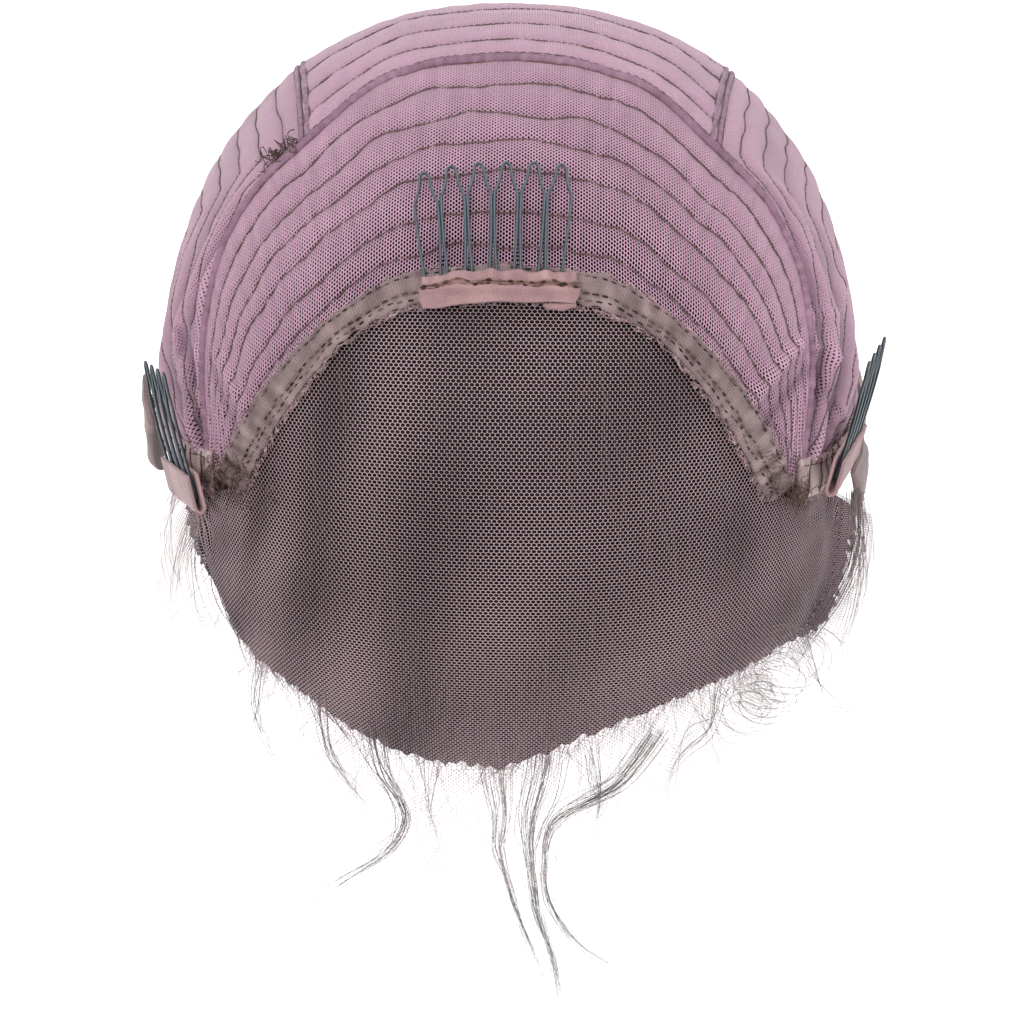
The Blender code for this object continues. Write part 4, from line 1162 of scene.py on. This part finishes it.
def build_side_comb(side_name, y, z, height, foot, tooth):
    """A side comb's wire, and the tape that is folded over its foot."""
    centre, across, along, out = side_comb_frame(side_name, y, z, height, foot, tooth)
    path = comb_path(SIDE_LOOPS, (0.0, 0.0))
    u, v = path[:, 0, None], path[:, 1, None]
    arch = out * (-2.2 * np.maximum(0.0, v) * (LOOP_HEIGHT - v))
    wire = placed(add_wire(side_name + "_comb_wire", centre + across * u + along * v - arch),
                  "comb_wire", "comb_" + side_name)
    half = SIDE_LOOPS * LOOP_PITCH / 2 + 0.0008
    inner = WIRE_SEAT + TAPE_GAP
    outer = inner + TAPE_THICKNESS
    ups, share = (0.0050, 0.0010, -0.0032), (1, 1, 1, 0, -1, -1, -1)
    steps = np.linspace(0, 6, 40)
    near, far = (
        np.stack([curve(np.arange(7), ups + (turn,) + ups[::-1], steps),
                  curve(np.arange(7), [side * depth for side in share], steps)], -1)
        for turn, depth in ((-0.0042, inner), (-0.0050, outer)))
    t = np.linspace(0, 1, 60)
    ripple = 0.00012 * waves(t[None, :] * 28, 85, 0.06, 0.25, y=steps[:, None] * 0.3)

    def face(shape, extra):
        flat = centre + across * mixed(-half, half, t)[None, :, None] + along * shape[:, None, 0:1]
        depth = shape[:, 1][:, None]
        return flat + out * (depth + np.sign(depth) * extra)[..., None]

    place = (t[None, :] * half * 2000, steps[:, None] * 3.0)
    # The tape's shade is painted lighter and darker with its ripples.
    return wire, strip(side_name + "_comb_tape", face(far, ripple), face(near, 0 * ripple), PINK, place,
                       1 + 1200 * ripple, "comb_tape_" + side_name)


def sewing(name, groups, look=BROWN_THREAD, slot="grosgrain_taupe", sides=3):
    return placed(add_tubes(name, groups, look, sides), slot)


def build_row_stitches():
    """The sewn rows of the weft on the crown's nets."""
    runs = []
    s = np.linspace(-5.95, 5.95, 420)
    for k in range(1, len(FRONT_ROWS) - 1):
        theta, alpha = crown_front_angles(front_row(k, s), s)
        height = ROW_THREAD_HEIGHT + fold_marks(alpha, theta, CROWN_FOLDS)[0] + 0.00022
        runs.append(sewn_run((theta, alpha), height, 0.0015, 0.00025, 100 + k))
    c = np.linspace(-0.99, 0.99, 260)
    for k in range(1, BACK_ROW_COUNT):
        r = (k - 0.10 * waves(c * 2, 9, 0.3, 1.4, y=k / BACK_ROW_COUNT)) / BACK_ROW_COUNT
        runs.append(sewn_run(back_angles(r, c), ROW_THREAD_HEIGHT + 0.0002, ROW_STITCH, 0.00022, 130 + k))
    return sewing("weft_row_stitches", runs)


def build_side_stitches():
    runs = []
    station = np.linspace(0.1, 11.9, 500)
    for side, seed in ((-1, 50), (1, 55)):
        for k, row in enumerate(SIDE_ROWS[1:-1]):
            angles, relief, _, _ = side_net_shape(station, row - side_wander(station, seed), side, seed)
            runs.append(sewn_run(angles, NET_HEIGHT + relief + 0.00028, ROW_STITCH, 0.00023, 150 + seed + k))
    return sewing("side_row_stitches", runs)


def seam_roll(angles, height, radius, seed):
    """A rolled seam: a flat tube along a line of the cap, slightly twisted and puckered."""
    theta, alpha = angles
    line, place = resampled(lifted(alpha, theta, height), 0.0006)
    beat = waves(place * 1000, seed, 0.10, 0.35)
    fine = waves(place * 1000, seed + 1, 0.4, 0.9)
    # The tone is painted lighter where the roll is thicker and darker where it is thinner: painted shade.
    return line[None], radius * (1 + 0.20 * beat + 0.18 * fine), 0.75 + 0.2 * beat


def build_seams():
    """The rolled seams round the crown and down to the nape, and the thread sewn along them."""
    rolls, runs = [], []
    s = np.linspace(-5.9, 5.9, 400)
    theta, alpha = crown_seam(s)
    alpha = alpha + 0.22 * waves(s, 208, 0.3, 1.2) + 0.08 * waves(s, 209, 1.5, 4.0)
    rolls.append(seam_roll((theta, alpha - 0.45), 0.0006, 0.00095, 201))
    rolls.append(seam_roll((theta, alpha + 0.60), 0.0003, 0.00065, 205))
    for shift, sway, radius, seed in ((-0.95, 0.15, 0.00020, 202), (1.05, 0.12, 0.00019, 204)):
        wander = shift + sway * waves(s, seed, 0.5, 2.0)
        runs.append(sewn_run((theta, alpha + wander), 0.0005, SEAM_STITCH, radius, 203 if shift < 0 else 206))
    station = np.linspace(0.04, 5.96, 300)
    edge_theta, edge_alpha = at_station(BACK_SEAM, station, 0, 1)
    for side in (-1, 1):
        for shift, seed in ((-0.62, 210), (0.62, 214)):
            wander = 0.10 * waves(station, seed + side, 0.4, 1.4)
            rolled = side * (edge_theta + shift + wander), edge_alpha
            rolls.append(seam_roll(rolled, 0.0004, 0.00062, seed + 2 * side))
            sewn = side * (edge_theta + 1.7 * shift), edge_alpha
            runs.append(sewn_run(sewn, 0.0004, SEAM_STITCH, 0.00018, seed + 5 * side))
    cloth = add_tubes("seam_rolls", rolls, SEAM_CLOTH, sides=7)
    # The seam cloth's shade is its tone: painted shade along the roll.
    tone = np.zeros(len(cloth.data.vertices), np.float32)
    cloth.data.attributes.new("shade", "FLOAT", "POINT")
    cloth.data.attributes["tone"].data.foreach_get("value", tone)
    cloth.data.attributes["shade"].data.foreach_set("value", tone)
    return placed(cloth, "stretch_net"), sewing("seam_stitches", runs)


def dashes(line_of, count, radius, rng):
    """Single stitches along a line: short arcs of thread with gaps between them."""
    paths, radii, tones = [], [], []
    for k in range(count):
        middle = (k + 0.5) / count + rng.normal(0, 0.06) / count
        part = np.linspace(middle - 0.34 / count, middle + 0.34 / count, 7)
        points = line_of(part, rng.normal(0, 1))
        arch = np.sin(np.linspace(0, math.pi, 7))
        paths.append(points + outward(points) * (arch * 0.00028 - 0.00012)[:, None])
        radii.append(radius * rng.uniform(0.75, 1.35) * (0.45 + 0.55 * arch))
        tones.append([rng.choice((0.0, 0.15, 0.5, 0.9))])
    return np.array(paths), np.array(radii), np.array(tones)


def build_ribbon_stitches():
    rng = np.random.default_rng(301)
    groups = []
    for part, count in ((0.14, 96), (0.655, 90), (0.84, 84)):
        def on_ribbon(t, off, part=part):
            wander = 0.035 * waves(t, 306 + int(9 * part), 6.0, 18.0)
            theta, alpha = ribbon_line(-6 + 12 * t, part + 0.02 * off + wander)
            return lifted(alpha, theta, RIBBON_BASE + TRIM_THICKNESS - 0.00012)
        groups.append(dashes(on_ribbon, count, 0.00024, rng))
    for share, count in ((0.17, 260), (0.83, 250)):
        def on_band(t, off, share=share):
            station = -RIM_LAST + 2 * RIM_LAST * t
            return band_points(station, share * band_width(station) + 0.0001 * off, BAND_TOP + 0.00005)
        groups.append(dashes(on_band, count, 0.00020, rng))
    width = np.linspace(0.0002, BAND_WIDTH - 0.0003, 40)
    for side in (-1, 1):
        for k in range(5):
            station = side * (16.4 - 0.55 * k) + 0.10 * waves(width * 1000, 310 + k, 0.05, 0.2)
            groups.append((band_points(station, width, BAND_TOP + 0.00018)[None], 0.00020, 0.45))
    return sewing("ribbon_stitches", groups)


def build_tape_stitches():
    """Two wandering lines of tan thread with dark stitches over them."""
    rng = np.random.default_rng(321)
    dark, tan = [], []
    for shift, count, seed in ((0.035, 15, 322), (-0.075, 13, 325)):
        def on_tape(t, off, shift=shift, seed=seed):
            c = np.clip(t, 0.0, 1.0)
            wander = 0.022 * waves(c * FRONT_TAPE_MM, seed, 0.05, 0.22) + 0.006 * off
            x = mixed(FRONT_TAPE_X[0] - 0.0006, FRONT_TAPE_X[1] + 0.0010, t)
            return lifted(tape_alpha(c, tape_seam(c) + shift + wander), theta_of_x(x),
                          TAPE_SEAT + TAPE_THICKNESS - 0.00012)
        dark.append(dashes(on_tape, count, 0.00030, rng))
        t = np.linspace(0.0, 1.0, 150)
        for twist in (0.0, 1.7):
            line = on_tape(t, 0.6 * np.sin(28 * t + twist))
            line = line + outward(line) * (0.00016 + 0.00010 * np.sin(95 * t + twist))[:, None]
            tan.append((line[None], 0.00014, 0.5 + 0.5 * np.sin(40 * t + twist)))
    threads = sewing("tape_threads", tan, TAN_THREAD, sides=4)
    return sewing("tape_stitches", dark, sides=5), threads


def curl(start, heading, length, turns, size, rng):
    """One loose curly thread end."""
    heading = unit(np.asarray(heading, float))
    side = unit(np.cross(heading, rng.normal(size=3)))
    other = np.cross(heading, side)
    t = np.linspace(0, 1, 13)
    angle = 2 * math.pi * turns * t + rng.uniform(0, 6.28)
    swing = size * (0.3 + 0.7 * t)
    circle = side * (np.cos(angle) * swing)[:, None] + other * (np.sin(angle) * swing)[:, None]
    return start + heading * (length * t)[:, None] + circle


FUZZ = (
    # theta from and to, alpha from and to, number of thread ends
    ((-46.5, -35.0), (60.2, 66.0), 170),
    ((-40.0, -30.0), (59.5, 63.0), 45),
    ((36.0, 44.0), (61.0, 67.5), 60),
    ((41.0, 46.5), (59.6, 62.4), 120),
)


def build_thread_ends():
    """Loose thread: fuzz where the ribbon meets the band, and the knot at the left crown corner."""
    rng = np.random.default_rng(341)
    paths, radii, tones = [], [], []

    def draw(span):
        return rng.uniform(*span) if isinstance(span, tuple) else span

    def add(theta, alpha, height, sunk, rise, length, turns, size, radius, tone):
        start = lifted(alpha, theta, draw(height))
        normal = cap_normal(alpha, theta)
        heading = unit(rng.normal(size=3) - normal * sunk)
        heading = unit(heading - normal * heading.dot(normal) + normal * draw(rise))
        paths.append(curl(start, heading, draw(length), draw(turns), draw(size), rng))
        radii.append([draw(radius)])
        tones.append([draw(tone)])

    for thetas, alphas, count in FUZZ:
        for _ in range(count):
            add(draw(thetas), draw(alphas), (0.0020, 0.0030), 0.2, (-0.1, 0.30), (0.001, 0.0045), (0.2, 1.6),
                (0.0002, 0.0009), (0.00005, 0.00010), (0.1, 1.3))
    corner = crown_seam(np.array(-2.35))
    for _ in range(16):
        add(corner[0] + draw((-3.2, 2.2)), corner[1] + draw((0.4, 2.6)), (0.0008, 0.0018), 0.0, 0.1,
            (0.001, 0.006), (0.8, 2.2), (0.0008, 0.0022), 0.00013, (0.2, 0.7))
    return sewing("thread_ends", [(np.array(paths), np.array(radii), np.array(tones))])


def build_fringe():
    """The frayed pale edge of net that sticks out under the ribbon, and a little above it."""
    rng = np.random.default_rng(361)
    n, k = RIBBON_FRINGE_COUNT, 7
    upper = rng.random(n) < 0.25
    s = rng.uniform(-6.0, 6.0, n)
    part = np.where(upper, rng.uniform(-0.03, 0.02, n),
                    rng.uniform(0.95, 1.05, n) + 0.03 * waves(s, 362, 0.5, 2.0))
    t = np.linspace(0, 1, k)[None, :]
    lean = rng.normal(0, 0.10, n)[:, None] * t + rng.normal(0, 0.02, n)[:, None] * np.sin(9 * t)
    reach = np.where(upper, -rng.uniform(0.02, 0.10, n), rng.uniform(0.03, 0.20, n))[:, None]
    theta, alpha = ribbon_line(np.clip(s[:, None] + lean, -6, 6), part[:, None] + reach * np.sin(2.2 * t))
    height = np.where(upper, 0.0012, 0.0006)[:, None] + 0.0006 * np.sin(3.1 * t) * rng.random(n)[:, None]
    paths = lifted(alpha, theta, height)
    radii = rng.uniform(0.00006, 0.00013, n)[:, None] * (1 - 0.5 * t)
    tones = rng.uniform(0.1, 1.2, n)[:, None]
    groups = [(paths, radii, tones)]
    n = BAND_FRINGE_COUNT
    side = np.where(rng.random(n) < 0.5, -1.0, 1.0)
    station = side * (RIM_LAST - rng.exponential(2.2, n).clip(0, 6))
    width = rng.uniform(-0.0008, 0.0006, n)[:, None] - rng.uniform(0.0002, 0.0016, n)[:, None] * t
    drift = np.clip(station[:, None] + rng.normal(0, 0.12, n)[:, None] * t, -RIM_LAST, RIM_LAST)
    paths = band_points(drift, width, 0.0011 + 0.0007 * np.sin(3.1 * t) * rng.random(n)[:, None])
    radii = rng.uniform(0.00006, 0.00012, n)[:, None] * (1 - 0.5 * t)
    groups.append((paths, radii, rng.uniform(0.2, 1.2, n)[:, None]))
    return sewing("ribbon_fringe", groups, PALE_THREAD, "stretch_net")


def hair_sheet(name, upper, lower, uv):
    tone = np.zeros(upper.shape[:2])
    return placed(closed_grid(name, upper, lower, LINING, uv, {"tone": tone}), "hair", "hair")


def hair_tubes(name, paths, radii, tones, look=HAIR):
    groups = [(np.array(paths), np.array(radii), np.array(tones))]
    return placed(add_tubes(name, groups, look), "hair", "hair")


def build_hair_layer():
    t, theta = grid(44, 320, -71, 71)
    t = t ** 1.5
    ragged = 0.45 * waves(theta, 401, 0.08, 0.4) + 0.35 * waves(theta, 402, 0.5, 1.0)
    alpha = mixed(hairline_alpha(theta) - 0.9 + ragged, nape_alpha(theta), t)
    theta = theta + 0 * t
    grooves = (0.00030 * waves(theta, 403, 0.25, 0.9, y=alpha * 0.08)
               + 0.00018 * waves(theta, 404, 1.0, 1.8, y=alpha * 0.1))
    upper = lifted(alpha, theta, HAIR_TOP - 0.0004 + grooves)
    lower = lifted(alpha, theta, HAIR_TOP - 0.0010 - 0.0048 * smooth(t / 0.05) + 1.6 * grooves)
    return hair_sheet("hair_layer", upper, lower, net_uv(alpha, theta, LACE_MIDDLE))


def build_temple_hair(side_name, side):
    """Dark hair under the lace margin beside an ear."""
    t, s = grid(14, 90, 4.8, 8.98)
    s = side * s
    reach = hair_under_margin(s) * (0.85 + 0.15 * waves(s, 471, 1.5, 5.0))
    row = HAIRLINE_ROW - 0.05 + (0.05 + reach) * t
    depth = -0.0030 - 0.0012 * np.sin(math.pi * np.clip(t, 0.02, 0.98))
    upper, alpha, theta = lace_points(s, row, -0.0019 + 0 * row)
    lower, _, _ = lace_points(s, row, depth + 0 * row)
    return hair_sheet("temple_hair_" + side_name, upper, lower,
                      net_uv(alpha + 60 * (row - HAIRLINE_ROW), theta, LACE_MIDDLE))


def build_hair_strands():
    """Single hairs that lie on the layer just under the nets, from the hairline backwards."""
    rng = np.random.default_rng(411)
    n, k = HAIR_COUNT, 9
    theta0 = rng.uniform(-70, 70, n)
    line = hairline_alpha(theta0)
    from_edge = rng.random(n) < 0.55
    alpha0 = np.where(from_edge, line - 0.6 - rng.exponential(1.1, n),
                      mixed(line, 150.0, rng.random(n) ** 1.3))
    length = rng.uniform(9, 30, n)
    t = np.linspace(0, 1, k)[None, :]
    alpha = alpha0[:, None] + length[:, None] * t
    drift = rng.normal(0, 4.0, n)[:, None] * t + rng.normal(0, 1.6, n)[:, None] * np.sin(3.1 * t)
    theta = np.clip(theta0[:, None] + drift, -70.5, 70.5)
    alpha = np.minimum(alpha, nape_alpha(theta) - 0.5)
    arch = np.sin(math.pi * t) * rng.uniform(0.0, 0.0006, n)[:, None]
    height = HAIR_TOP - 0.0004 + 0.0003 + arch + rng.uniform(-0.0002, 0.0002, n)[:, None]
    paths = lifted(alpha, theta, height)
    taper = 0.25 + 0.75 * smooth(t / 0.35) * smooth((1 - t) / 0.15)
    radii = rng.uniform(0.00007, 0.00015, n)[:, None] * taper
    tones = np.clip(rng.exponential(0.28, n), 0, 1.4)[:, None]
    return hair_tubes("hair_strands", paths, radii, tones)


def fall_line(theta, depth, t, column):
    """A line of the hair that hangs from the nape; depth is from -1 inside to 1 outside."""
    alpha = nape_alpha(theta)
    start = lifted(alpha, theta, HAIR_TOP - 0.0033)
    ragged = 0.008 * np.sin(1.9 * column) + 0.004 * np.cos(4.3 * column)
    low = EAR_LINE_Z - 0.050 - FALL_LENGTH + ragged
    end = np.stack([start[..., 0] * 0.68, 0.034 + (start[..., 1] - 0.034) * 0.74, low], -1)
    control = start + np.stack([start[..., 0] * 0.04, 0 * ragged + 0.010, 0 * ragged - 0.055], -1)
    t = t[..., None]
    centre = start * (1 - t) ** 2 + control * 2 * t * (1 - t) + end * t * t
    outward = unit(np.stack([start[..., 0] * 0.9, start[..., 1] - 0.010, 0 * ragged], -1))
    half = mixed(0.0030, 0.0064, smooth(t / 0.5)) * (1 - 0.75 * smooth((t - 0.6) / 0.4))
    return centre + outward * half * np.asarray(depth)[..., None]


def build_hair_fall():
    """The hair that hangs from the nape: a core, and locks of strands round it."""
    rng = np.random.default_rng(431)
    down, theta = grid(26, 110, -69, 69)
    theta = theta + 0 * down
    t = 0.90 * down + 0.05 * waves(theta, 432, 0.05, 0.3) * down
    locks = 0.25 * waves(theta, 433, 0.08, 0.3, y=t * 0.2) + 0.12 * waves(theta, 434, 0.4, 0.9, y=t * 0.5)
    thick = mixed(0.15, 1, 1 - smooth((t - 0.55) / 0.4))
    upper, lower = (fall_line(theta, (half + locks) * thick, t, (theta + 70) / 7) for half in (0.55, -0.55))
    hair_sheet("hair_fall_body", upper, lower, np.stack([theta * 1.6, t * 170], -1))
    n, k = FALL_COUNT, 12
    theta0 = rng.uniform(-70, 70, n)
    lock = np.round(theta0 / 6.5) * 6.5 + rng.normal(0, 0.6, n)
    t = np.linspace(0, 1, k)[None, :]
    gathered = mixed(theta0[:, None], lock[:, None], smooth(t) * 0.62)
    theta = gathered + rng.normal(0, 0.5, n)[:, None] * t
    depth = rng.uniform(-1.05, 1.05, n)[:, None]
    reach = rng.uniform(0.72, 1.0, n)[:, None]
    paths = fall_line(theta, depth, t * reach, (lock[:, None] + 70) / 7 + 0 * t)
    sway = 0.0016 * np.sin(2.6 * t * 3.1 + lock[:, None]) * t
    paths = paths + sway[..., None] * np.array((1.0, 0.2, 0.0))
    radii = rng.uniform(0.00020, 0.00042, n)[:, None] * (1 - 0.85 * smooth((t - 0.35) / 0.65))
    tones = np.clip(rng.exponential(0.3, n), 0, 1.3)[:, None]
    hair_tubes("hair_fall_strands", paths, radii, tones)


WISP_ROUTES = (
    # points along each lock in millimetres, hairs in it, spread at its start and at its tip, shortest share
    (((-31, -92, -56), (-29, -99, -66), (-26, -102, -76), (-24, -105, -85), (-25, -107, -94),
      (-29, -110, -103), (-38, -113, -114), (-47, -116, -124), (-56, -118, -129)), 26, 2.0, 1.6, 0.80),
    (((-2, -92, -60), (-1, -100, -74), (0, -105, -88), (-1, -109, -102), (1, -113, -117), (3, -117, -131),
      (7, -123, -150), (12, -130, -170), (15, -133, -178)), 30, 2.2, 1.0, 0.72),
    (((11, -92, -60), (10, -99, -71), (8, -103, -81), (7, -106, -90), (7, -109, -105), (8, -114, -119),
      (9, -118, -134), (13, -124, -153), (15, -130, -170), (15, -133, -180), (11, -135, -186)),
     36, 2.4, 0.6, 0.80),
    (((37, -91, -58), (32, -97, -65), (27, -101, -72), (19, -103, -81), (13, -105, -89), (11, -108, -99),
      (11, -111, -109), (11, -113, -119), (13, -117, -132), (19, -122, -147), (28, -126, -159),
      (36, -127, -162)), 30, 2.2, 1.4, 0.80),
    (((71, -67, -50), (76, -75, -62), (80, -77, -69), (83, -78, -74), (87, -79, -77), (90, -78, -76),
      (90, -77, -69)), 7, 1.0, 0.8, 0.85),
    (((-58, -72, -52), (-61, -81, -69), (-60, -85, -82), (-56, -89, -96), (-52, -92, -106)),
     12, 1.6, 2.4, 0.7),
    (((-43, -88, -44), (-41, -97, -59), (-36, -102, -73), (-32, -105, -84)), 12, 1.6, 2.4, 0.7),
    (((21, -93, -62), (24, -102, -78), (24, -105, -91), (26, -109, -103)), 12, 1.6, 3.0, 0.6),
    (((-16, -94, -64), (-18, -103, -83), (-16, -108, -97), (-19, -111, -109)), 12, 1.6, 3.0, 0.6),
    (((52, -80, -52), (50, -88, -62), (44, -92, -70), (40, -98, -86), (42, -102, -98)), 10, 1.6, 3.0, 0.6),
)
CURL_LOOPS = (
    # middle of a loose ring of hair in millimetres, its radius in millimetres, turns
    ((65, -74, -64), 8.0, 1.2),
    ((68, -71, -60), 10.5, 1.0),
    ((61, -78, -66), 5.5, 1.4),
    ((57, -80, -68), 7.5, 0.9),
)
LEFT_STRANDS = (
    # points of the pale strands beside the ears in millimetres
    ((-75, -36, -42), (-78, -43, -53), (-80, -48, -59), (-82, -56, -68)),
    ((-73, -40, -46), (-77, -48, -59), (-76, -56, -68), (-72, -63, -77)),
    ((-79, -35, -42), (-82, -41, -51), (-82, -48, -59), (-80, -53, -65)),
)
RIGHT_STRANDS = (
    ((85, -34, -44), (87, -42, -55), (88, -51, -66), (86, -58, -74)),
    ((84, -37, -47), (87, -46, -59), (86, -55, -70), (83, -62, -79)),
    ((86, -34, -44), (88, -40, -53), (89, -47, -62), (88, -53, -68)),
)
DARK_STREAK = ((85, -33, -46), (86, -40, -55), (85, -47, -63), (81, -54, -69), (76, -60, -74), (71, -66, -78))


def even_line(points, count):
    line = spline(np.array(points, float) * 0.001, 16)
    length = lengths(line)
    return points_at(line, length, np.linspace(0, length[-1], count))


def build_wisps():
    """The loose locks in front of the hairline, and the fine hairs between them."""
    rng = np.random.default_rng(451)
    k = 26
    t = np.linspace(0, 1, k)
    paths, radii, tones = [], [], []

    def add(points, size, tone):
        paths.append(points)
        radii.append(size * (1 - 0.7 * t ** 2))
        tones.append([tone])

    def add_strands(route, count, spread, grow, wander, size, tone):
        line = even_line(route, k)
        for _ in range(count):
            shift = rng.normal(0, spread, 3) * (grow[0] + grow[1] * t)[:, None]
            bent = rng.normal(size=3) * wander * waves(t, rng.integers(1, 9999), 0.4, 1.6)[:, None]
            add(line + shift + bent, rng.uniform(*size), rng.uniform(*tone))

    for route, count, first, last, shortest in WISP_ROUTES:
        line = even_line(route, k)
        for _ in range(count):
            offset = rng.normal(size=3) * np.array((1.0, 0.7, 0.7))
            turned = np.roll(offset, 1) * np.array((1, -1, 1))
            blend = smooth(t * 1.2)[:, None]
            open_out = 0.001 * (first * (1 - t) ** 1.2 + 0.15 + last * smooth((t - 0.62) / 0.38))[:, None]
            wander = 0.0008 * waves(t, rng.integers(1, 9999), 0.6, 2.4)[:, None]
            points = line + (offset * (1 - blend) + turned * blend) * open_out + rng.normal(size=3) * wander
            fine = points_at(points, t, t * rng.uniform(shortest, 1.0))
            add(fine, rng.uniform(0.00004, 0.00010), rng.uniform(0, 1.2))
    for middle, size, turns in CURL_LOOPS:
        for _ in range(9):
            angle = rng.uniform(-0.9, 0.9) + 2 * math.pi * turns * rng.uniform(0.8, 1.1) * t
            radius = 0.001 * size * rng.uniform(0.8, 1.2) * (1 - 0.25 * t)
            centre = np.array(middle) * 0.001 + rng.normal(0, 0.0014, 3)
            ring = radius[:, None] * np.stack([np.cos(angle), np.sin(angle) * 0.62, np.sin(angle) * 0.40], -1)
            slid = np.array((0.003, -0.003, -0.004)) * t[:, None]
            add(centre + ring + slid, rng.uniform(0.00004, 0.00008), rng.uniform(0.2, 1.0))
    for route in LEFT_STRANDS + RIGHT_STRANDS:
        add_strands(route, 11, 0.0013, (0.4, 0.8), 0.0007, (0.00004, 0.00008), (0.9, 1.6))
    add_strands(DARK_STREAK, 34, 0.0018, (0.5, 0.7), 0.0006, (0.00005, 0.00011), (0.0, 1.2))
    for _ in range(FINE_HAIR_COUNT):
        theta0 = rng.uniform(-54, 60)
        alpha0 = float(hairline_alpha(np.array(theta0))) + rng.uniform(-1, 2)
        start, normal = lifted(alpha0, theta0, -0.0022), cap_normal(alpha0, theta0)
        down = unit(np.array((rng.normal(0, 0.45), -0.25, -1.0)) + normal * rng.uniform(0.0, 0.40))
        length = rng.uniform(0.005, 0.030) * (1.5 if abs(theta0) < 30 else 1.0)
        bend = unit(rng.normal(size=3)) * rng.uniform(0.0, 0.012)
        curved = bend * (t * t)[:, None] + 0.08 * bend * np.sin(5 * t + rng.uniform(0, 6))[:, None]
        add(start + down * length * t[:, None] + curved, rng.uniform(0.00003, 0.00006), rng.uniform(0.3, 1.5))
    hair_tubes("front_wisps", paths, radii, tones, WISP)


crown_front = build_crown_front()
crown_back = build_crown_back()
side_left = build_side_panel("left", -1, 50)
side_right = build_side_panel("right", 1, 55)
lace = build_lace()
ribbon = build_ribbon()
band = build_band()
tab_left, tab_right = (build_ear_tab(*row) for row in EAR_TABS)
build_front_comb()
front_tape = build_front_tape()
tape_flap = build_tape_flap()
(left_wire, left_tape), (right_wire, right_tape) = (build_side_comb(*row) for row in SIDE_COMBS)
row_stitches = build_row_stitches()
side_stitches = build_side_stitches()
seam_cloth, seam_thread = build_seams()
ribbon_stitches = build_ribbon_stitches()
tape_stitches, tape_threads = build_tape_stitches()
thread_ends = build_thread_ends()
fringe = build_fringe()
hair_layer = build_hair_layer()
build_temple_hair("left", -1)
build_temple_hair("right", 1)
build_hair_strands()
build_hair_fall()
build_wisps()

FLOOR_SIZE = 6.0
FLOOR_DROP = 0.012
WORLD_STRENGTH = 0.40
LAMPS = (
    # name, place, what it points at, size, power
    ("key", (-0.45, -0.35, 1.15), (0.0, -0.02, -0.05), 0.7, 8.0),
    ("fill", (0.70, -0.50, 0.80), (0.0, 0.0, -0.06), 0.9, 3.6),
    ("back", (0.10, 0.80, 0.75), (0.0, 0.0, -0.03), 0.8, 4.4),
)
CAMERA_TURN, CAMERA_RISE, CAMERA_ROLL = (math.radians(angle) for angle in (2.0, 66.0, -1.0))
CAMERA_AIM = np.array((0.0, 0.0, -0.040))
CAMERA_DISTANCE = 0.700
FOCAL_PIXELS = 2850.0
AIM_UP_PIXELS = 159
AIM_RIGHT_PIXELS = 4
IMAGE_SIZE = 1024
SENSOR_WIDTH = 36.0


def build_floor():
    count = 25
    place = np.linspace(-FLOOR_SIZE, FLOOR_SIZE, count)
    x, y = np.meshgrid(place, place)
    points = np.stack([x, y, np.full_like(x, cad_box[0].z - FLOOR_DROP)], -1)
    make_mesh("floor", points, [grid_quads(count, count)], floor_look())


def add_light(name, place, aim, size, power):
    data = bpy.data.lights.new(name, "AREA")
    data.shape = "DISK"
    data.size = size
    data.energy = power
    lamp = bpy.data.objects.new(name, data)
    lamp.location = place
    lamp.rotation_mode = "QUATERNION"
    lamp.rotation_quaternion = (Vector(aim) - Vector(place)).to_track_quat("-Z", "Y")
    bpy.context.scene.collection.objects.link(lamp)


def build_light():
    world = bpy.data.worlds.new("studio")
    world.use_nodes = True
    sky = world.node_tree.nodes["Background"]
    sky.inputs["Color"].default_value = (1.0, 1.0, 1.0, 1.0)
    sky.inputs["Strength"].default_value = WORLD_STRENGTH
    bpy.context.scene.world = world
    for lamp in LAMPS:
        add_light(*lamp)
    bpy.context.scene.view_settings.view_transform = "Standard"


def build_camera():
    turn, rise, roll = CAMERA_TURN, CAMERA_RISE, CAMERA_ROLL
    back = np.array((math.sin(turn) * math.cos(rise), -math.cos(turn) * math.cos(rise), math.sin(rise)))
    right = np.array((math.cos(turn), math.sin(turn), 0.0))
    up = np.cross(back, right)
    right_rolled = math.cos(roll) * right + math.sin(roll) * up
    up_rolled = -math.sin(roll) * right + math.cos(roll) * up
    eye = CAMERA_AIM + back * CAMERA_DISTANCE
    ahead = unit(-back * FOCAL_PIXELS - up_rolled * AIM_UP_PIXELS + right_rolled * AIM_RIGHT_PIXELS)
    side = unit(np.cross(ahead, up_rolled))
    data = bpy.data.cameras.new("camera")
    data.sensor_width = SENSOR_WIDTH
    data.lens = SENSOR_WIDTH * FOCAL_PIXELS / IMAGE_SIZE
    data.clip_start = 0.05
    data.clip_end = 20.0
    camera = bpy.data.objects.new("camera", data)
    axes = Matrix((side, np.cross(side, ahead), -ahead)).transposed()
    camera.matrix_world = Matrix.Translation(Vector(eye)) @ axes.to_4x4()
    bpy.context.scene.collection.objects.link(camera)
    bpy.context.scene.camera = camera


build_floor()
build_light()
build_camera()
